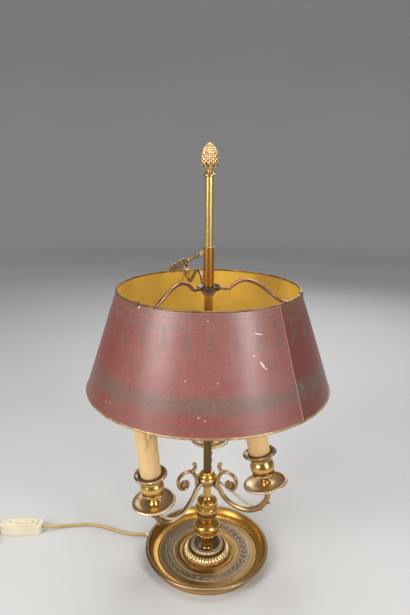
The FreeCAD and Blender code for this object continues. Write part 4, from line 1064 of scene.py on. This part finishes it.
def candle_mesh(name, drips, seed):
    prof = profile([(14.1, 44.05), (15.5, 44.05), (15.5, 126.0), [(15.2, 127.2), (14.6, 127.5)], (14.1, 127.2)], 5, 0.2,
                   fine=((15.0, 16.0, 44.0, 127.0, 1.1),))

    def relief(R, Zz, TH):
        D = np.zeros_like(R)
        outer = (R > 15.2)
        for a, half, length, hgt in drips:
            da = ((TH - math.radians(a) + PI) % (2 * PI) - PI) * 15.5
            da = da + 0.5 * np.sin(Zz * 0.35 + a)
            zend = 127.0 - length
            below = np.maximum(0.0, zend + half - Zz) / half
            fat = 1.0 + 0.22 * np.exp(-((Zz - zend - half) / 4.0) ** 2)
            q = (da / (half * fat)) ** 2 + below ** 2
            D = np.maximum(D, hgt * np.sqrt(np.clip(1 - q, 0, 1)) * fat)
        D += 0.10 * np.sin(3 * TH + Zz * 0.05 + seed) * outer
        return D * outer

    return Piece().add(lathe(prof, 240, relief)).mesh(name, [m_candle], 60, weld=False)


DRIPS = {
    "left": [(60, 2.6, 26, 1.3), (82, 2.2, 14, 1.1), (103, 2.4, 36, 1.4), (140, 2.6, 20, 1.3), (200, 2.4, 30, 1.3), (250, 2.6, 16, 1.2),
             (300, 2.3, 34, 1.3), (345, 2.5, 22, 1.3), (20, 2.2, 12, 1.1)],
    "right": [(40, 2.5, 22, 1.3), (90, 2.3, 34, 1.3), (150, 2.6, 18, 1.2), (215, 2.4, 28, 1.3), (280, 2.6, 20, 1.3), (330, 2.3, 38, 1.4)],
    "rear": [(10, 2.5, 24, 1.3), (75, 2.4, 34, 1.3), (130, 2.6, 16, 1.2), (190, 2.4, 30, 1.3), (265, 2.6, 22, 1.3), (320, 2.3, 12, 1.2)],
}

GLASS_OUT = [(8.2, 125.6), [(9.4, 128.0), (13.4, 136.0), (16.9, 146.0), (17.5, 152.0), (16.4, 162.0), (12.2, 176.0), (6.4, 189.0),
                            (2.2, 197.0), (0.0, 199.0)]]
GLASS_IN = [(0.0, 198.2), [(1.6, 196.2), (5.6, 188.4), (11.4, 175.6), (15.6, 161.8), (16.7, 152.0), (16.1, 146.2), (12.6, 136.4),
                           (8.6, 128.6), (7.4, 126.4)], (7.4, 125.6)]
bulb = Piece().add(lathe(profile(GLASS_OUT + GLASS_IN, 8, 0.15), 64))
stemg = [(0.0, 125.8), (5.2, 125.8), [(3.4, 129.0), (2.0, 136.0), (1.8, 146.0), (2.3, 150.0)], (0.0, 151.0)]
bulb.add(lathe(profile(stemg, 5, 0.15), 24), 0)
for sg in (-1, 1):
    bulb.add(sweep(through([(sg * 1.6, 0, 138.0), (sg * 2.4, 0, 148.0), (sg * 6.6, 0, 158.0)], 6), 0.25, 0.25, 8), 1)
coilp = [(6.6 - 13.2 * k, 0.35 * math.sin(k * 2 * PI * 22), 158.0 + 3.2 * math.sin(PI * k) + 0.35 * math.cos(k * 2 * PI * 22))
         for k in (i / 220.0 for i in range(221))]
bulb.add(sweep(coilp, 0.14, 0.14, 6), 1)
bulb_me = bulb.mesh("bulb", [m_glass, m_filament], 50)

for nm, (az, pr, pz, tilt) in ARMS.items():
    Mx = (Matrix.Rotation(math.radians(az), 4, "Z") @ Matrix.Translation((pr * MM, 0, pz * MM))
          @ Matrix.Rotation(math.radians(tilt), 4, "Y"))
    place("pan_%s_turned" % nm, pan_me, "root", ("pan_" + nm,), Mx)
    place("cup_%s_turned" % nm, cup_me, "root", ("cup_" + nm,), Mx)
    place("candle_%s_sleeve" % nm, candle_mesh("candle_" + nm, DRIPS[nm], len(nm)), "root", ("candle_" + nm,), Mx)
    place("bulb_%s_glass" % nm, bulb_me, "root", ("bulb_" + nm,), Mx)

# ------------------------------------------------------------------ clamp key
kd = Vector((-0.884365, -0.108586, -0.453990))
ku = Vector((0, 0, 1)).cross(kd).normalized()
kw = kd.cross(ku)
MK = (Matrix.Translation((0, 0, 0.499)) @ Matrix((kd, ku, kw)).transposed().to_4x4()
      @ Matrix.Rotation(math.radians(65.0), 4, "X"))
key = Piece()
KX = Matrix.Rotation(PI / 2, 4, "Y")           # turns a lathe's axis onto the key's


def turned_x(items, segs=32, per=5, soft=0.2, disp=None):
    return moved(lathe(profile(items, per, soft), segs, disp), KX)


key.add(turned_x([(0.0, 8.15), (2.0, 8.15), (2.0, 17.2), (2.6, 17.4), [(3.3, 18.0), (3.3, 19.0)], (2.6, 19.6), (1.9, 20.0), [(2.2, 24.0), (1.8, 28.6)],
                  (2.4, 29.6), (3.4, 30.4), [(3.7, 31.6), (3.2, 32.8)], (2.0, 33.6), (0.0, 33.8)]))


for sg in (-1, 1):
    q = through([(33.2, sg * 0.6, 0)] + [(35.4, sg * 1.2, 0)] + [(39.0, sg * 0.8, 0), (42.6, sg * 2.2, 0), (42.8, sg * 5.2, 0), (40.0, sg * 7.0, 0),
                 (36.6, sg * 6.2, 0), (35.6, sg * 3.8, 0), (37.4, sg * 2.6, 0), (39.2, sg * 3.8, 0)], 8)
    kk = np.linspace(0, 1, len(q))
    key.add(sweep(q, np.interp(kk, [0, 0.5, 1], [1.5, 1.5, 0.9]), np.interp(kk, [0, 0.5, 1], [1.2, 1.25, 0.8]), 14, side=(0, 0, 1)))
    q = through([(42.4, sg * 1.0, 0), (46.4, sg * 1.2, 0), (50.6, sg * 0.9, 0), (54.4, sg * 2.2, 0), (55.0, sg * 4.8, 0), (52.4, sg * 6.4, 0),
                 (49.6, sg * 5.2, 0), (50.0, sg * 3.2, 0), (51.8, sg * 3.4, 0)], 8)
    kk = np.linspace(0, 1, len(q))
    key.add(sweep(q, np.interp(kk, [0, 0.5, 1], [1.4, 1.4, 0.8]), np.interp(kk, [0, 0.5, 1], [1.1, 1.1, 0.7]), 14, side=(0, 0, 1)))
    key.add(ball((38.2, sg * 4.2, 0), 1.5, (1, 1, 0.95), 12, 8))
    key.add(ball((51.8, sg * 3.7, 0), 1.2, (1, 1, 1), 12, 8))
    # outer leaflets
    for x0, y0, x1, y1 in ((43.0, 5.4, 47.6, 8.1), (46.6, 3.0, 48.6, 6.8), (55.2, 3.6, 59.6, 6.4), (57.0, 1.6, 61.6, 3.6)):
        q = through([(x0, sg * y0, 0), ((x0 + x1) / 2 - 0.6, sg * ((y0 + y1) / 2 + 0.5), 0.2), (x1, sg * y1, 0)], 5)
        kk = np.linspace(0, 1, len(q))
        key.add(sweep(q, 1.1 * np.sin(PI * (0.25 + 0.7 * kk)), 1.2 * np.sin(PI * (0.25 + 0.7 * kk)) ** 0.7, 10, side=(0, 0, 1)))
q = through([(33.0, 0, 0), (40.0, 0, 0), (47.0, 0, 0), (54.0, 0, 0), (60.0, 0, 0), (65.2, 0, 0)], 8)
kk = np.linspace(0, 1, len(q))
key.add(sweep(q, np.interp(kk, [0, 0.7, 1], [1.4, 1.4, 0.5]),
              np.interp(kk, [0, 0.2, 0.36, 0.5, 0.7, 0.84, 1.0], [1.6, 1.0, 2.6, 1.1, 1.2, 2.6, 0.4]), 16, side=(0, 0, 1)))
place("key_openwork", key.mesh("key", [m_key], 50), "clamp_key", ("clamp_key",), MK)

# ------------------------------------------------------------------ painted shade
ZB, ZT = 305.4, 444.9
SEAM = math.radians(-47.5)


def shade_mesh():
    th = np.arange(480) * 2 * PI / 480 - PI
    extra = SEAM + np.radians(np.array([-5.2, -4.9, -4.6, -0.30, -0.12, -0.02, 0.02, 0.12, 0.30]))
    th = np.unique(np.concatenate([th, extra]))
    rows = 29
    zz = np.linspace(ZB, ZT, rows)
    TH, Zg = np.meshgrid(th, zz)
    k = (Zg - 304.8) / (445.5 - 304.8)
    R = 175.8 + (129.2 - 175.8) * k
    fade = np.sin(PI * np.clip((Zg - ZB) / (ZT - ZB), 0, 1)) ** 0.7
    wave = fade * (0.28 * np.sin(2 * TH + 0.9 + 1.6 * k) + 0.20 * np.sin(5 * TH + 2.1 - 2.2 * k) + 0.12 * np.sin(9 * TH + 3.0 * k)
                   - 0.35 * np.exp(-((TH - math.radians(-118)) / 0.22) ** 2 - ((k - 0.62) / 0.25) ** 2)
                   - 0.30 * np.exp(-((TH - math.radians(-60)) / 0.16) ** 2 - ((k - 0.45) / 0.22) ** 2))
    dth = np.degrees(TH - SEAM)
    lip = 0.55 * spread(dth, -14.0, -2.0) * (dth <= 0.0) + 0.55 * (dth > 0) * spread(dth, 0.28, 0.0)
    lip = np.where(np.abs(dth) < 16, lip, 0.0)
    out = R + wave + lip * 0.9 - 0.05
    inn = R - 0.84 + wave
    n, m = TH.shape
    P = Piece()
    for rad, kmat, flip in ((out, 0, False), (inn, 1, True)):
        V = np.stack([rad * np.cos(TH), rad * np.sin(TH), Zg], -1).reshape(-1, 3)
        I, J = np.meshgrid(np.arange(n - 1), np.arange(m), indexing="ij")
        J2 = (J + 1) % m
        F = np.stack([I * m + J, I * m + J2, (I + 1) * m + J2, (I + 1) * m + J], -1).reshape(-1, 4)
        if flip:
            F = F[:, ::-1]
        P.add((V, F.tolist()), kmat)
    # the two edges
    for row, flip in ((0, True), (n - 1, False)):
        a = np.stack([out[row] * np.cos(th), out[row] * np.sin(th), Zg[row]], -1)
        b = np.stack([inn[row] * np.cos(th), inn[row] * np.sin(th), Zg[row]], -1)
        V = np.vstack([a, b])
        F = [[j, (j + 1) % m, m + (j + 1) % m, m + j] for j in range(m)]
        if flip:
            F = [f[::-1] for f in F]
        P.add((V, F), 0)
    return P.mesh("shade", [m_shade, m_inside], 40)


place("shade_sheet", shade_mesh(), "shade", ("shade",))

# ------------------------------------------------------------------ materials on the CAD pieces that stay
CAD = {
    "cord_bush": m_ivory, "base_felt": m_felt, "central_tube": m_steel, "bottom_nut": m_steel, "inner_wires": m_wire,
    "stem_foot": m_gold, "stem_bulb": m_bell, "stem_bell": m_bell, "arm_hub": m_hub, "hub_cap": m_gold,
    "column_rod": m_rod, "finial_collar": m_collar, "arm_screws": m_steel, "bulb_caps": m_pin,
    "lampholder_left": m_black, "lampholder_right": m_black, "lampholder_rear": m_black,
    "wire_left": m_wire, "wire_right": m_wire, "wire_rear": m_wire,
    "carrier_sleeve": m_sleeve, "carrier_nut": m_bronze, "shade_spider": m_spider,
    "shade_bottom_rim": m_rim_bottom, "shade_top_rim": m_rim_top, "rim_clips": m_clip,
    "switch_lower": m_ivory, "switch_upper": m_ivory, "switch_rocker": m_rocker, "switch_screws": m_steel,
    "switch_terminals": m_inner, "coil_tie": m_band, "plug_body": m_ivory, "plug_pins": m_pin,
}
for name, mat in CAD.items():
    o = N[name]
    if not o.data.materials:
        o.data.materials.append(mat)
    for i in range(len(o.material_slots)):
        o.material_slots[i].material = mat

# ------------------------------------------------------------------ cords
ca, sa = math.cos(math.radians(160)), math.sin(math.radians(160))
LEAD = [
    (84.0 * ca, 84.0 * sa, 3.15), (99.0 * ca, 99.0 * sa, 3.15), (114.0 * ca - 0.5, 114.0 * sa - 0.6, 2.9),
    (-126.0, 37.6, 2.6), (-146.0, 43.4, 2.6), (-168.0, 53.0, 2.6), (-190.0, 60.4, 2.6), (-211.0, 63.0, 2.6),
    (-232.0, 60.8, 2.6), (-251.0, 57.0, 3.6), (-267.0, 51.6, 6.6), (-280.0, 49.2, 8.6), (-288.5, 49.0, 8.6)]
TAIL = [(-348.5, 49.0, 8.6), (-360.5, 49.0, 7.6), (-372.5, 48.1, 3.6), (-385.0, 46.9, 2.6)]
CX, CY = -393.0, 10.0
TURN = 16
BULGE = 1.0 / (0.75 + 0.25 * math.cos(2 * PI / TURN))


def coil_at(deg):
    """radius and height of the wound cord at a winding angle counted from where it enters, at 90 degrees.
    Lower layer: four turns stepping inwards; upper layer: out again."""
    steps_in = [(300, 360), (660, 720), (1020, 1080)]
    r = 36.5
    for a, b in steps_in:
        r -= 5.0 * min(max((deg - a) / (b - a), 0.0), 1.0)
    z = 2.5 + 5.0 * min(max((deg - 1340) / 60.0, 0.0), 1.0)
    for a, b in ((1630, 1690), (1990, 2050), (2350, 2410)):
        r += 5.0 * min(max((deg - a) / (b - a), 0.0), 1.0)
    return r, z


WIND = []
total = 2610
count = int(total / 360.0 * TURN)
for i in range(count + 1):
    deg = total * i / count
    r, z = coil_at(deg)
    a = math.radians(90 + deg)
    WIND.append((CX + r * BULGE * math.cos(a), CY + r * BULGE * math.sin(a), z))
PLEAD = [(-429.9, -2.0, 7.3), (-429.9, -12.0, 7.0), (-429.9, -24.0, 7.0), (-429.9, -31.0, 7.0)]


def cord_curve(name, pts, mat, body="root"):
    cu = bpy.data.curves.new(name, "CURVE")
    cu.dimensions = "3D"
    sp = cu.splines.new("NURBS")
    sp.points.add(len(pts) - 1)
    for p, q in zip(sp.points, pts):
        p.co = (q[0] * MM, q[1] * MM, q[2] * MM, 1.0)
    sp.order_u = 3
    sp.use_endpoint_u = True
    sp.resolution_u = 6
    cu.bevel_depth = 0.0025
    cu.bevel_resolution = 5
    cu.use_fill_caps = True
    cu.materials.append(mat)
    o = bpy.data.objects.new(name, cu)
    scene.collection.objects.link(o)
    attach(o, body)
    return o


lead = cord_curve("flex_to_switch", LEAD, m_cord)
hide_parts("cord_lead")
rest = cord_curve("flex_to_plug", TAIL + WIND + PLEAD, m_cord)
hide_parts("cord_tail", "cord_coil", "plug_lead")


# ------------------------------------------------------------------ floor, backdrop and light
def stage_material():
    M = Mat("stage_grey", rough=0.75, Specular_IOR_Level=0.25)
    n1 = M.noise(1.2, 3.0, 0.5)
    M.base(M.mix(n1, (0.60, 0.60, 0.60), (0.64, 0.64, 0.635)))
    return M.m


Pb = np.vstack([np.array([[0.0, 0.0], [1200.0, 0.0]]), through([(2400.0, 0.0), (3000.0, 120.0), (3500.0, 620.0), (3750.0, 1500.0), (3800.0, 3200.0)], 10)])
thb = np.arange(96) * 2 * PI / 96
Vb = np.array([[r * math.cos(t), r * math.sin(t), z - 0.15] for r, z in Pb[1:] for t in thb] + [[0, 0, -0.15]])
Fb = [[i * 96 + j, i * 96 + (j + 1) % 96, (i + 1) * 96 + (j + 1) % 96, (i + 1) * 96 + j] for i in range(len(Pb) - 2) for j in range(96)]
Fb = [f[::-1] for f in Fb] + [[len(Vb) - 1, j, (j + 1) % 96] for j in range(96)]
stage_piece = Piece().add((Vb, Fb))
stage_me = stage_piece.mesh("stage", [stage_material()], 60, weld=False)
stage_o = bpy.data.objects.new("stage", stage_me)
scene.collection.objects.link(stage_o)

world = bpy.data.worlds.new("studio")
scene.world = world
world.use_nodes = True
bg = world.node_tree.nodes.get("Background")
bg.inputs[0].default_value = (0.80, 0.82, 0.86, 1)
bg.inputs[1].default_value = 0.20


def soft_light(name, at, look, w, h, power, col=(1, 1, 1)):
    L = bpy.data.lights.new(name, "AREA")
    L.shape = "RECTANGLE"
    L.size, L.size_y = w, h
    L.energy = power
    L.color = col
    o = bpy.data.objects.new(name, L)
    scene.collection.objects.link(o)
    o.matrix_world = Matrix.Translation(at) @ (Vector(look) - Vector(at)).to_track_quat("-Z", "Y").to_matrix().to_4x4()
    return o


soft_light("box_left", (-1.25, -1.05, 1.15), (0, 0, 0.28), 0.72, 1.1, 24.0, (1.0, 0.985, 0.96))
soft_light("box_right", (1.05, -1.15, 1.05), (0, 0, 0.28), 0.46, 1.0, 15.5, (1.0, 0.99, 0.97))
soft_light("box_top", (0.1, 0.35, 1.95), (0, 0, 0.2), 1.3, 1.0, 16.0, (1.0, 0.99, 0.97))
soft_light("box_back", (0.5, 1.5, 1.1), (0, 0, 0.3), 0.9, 0.9, 7.0, (0.97, 0.98, 1.0))
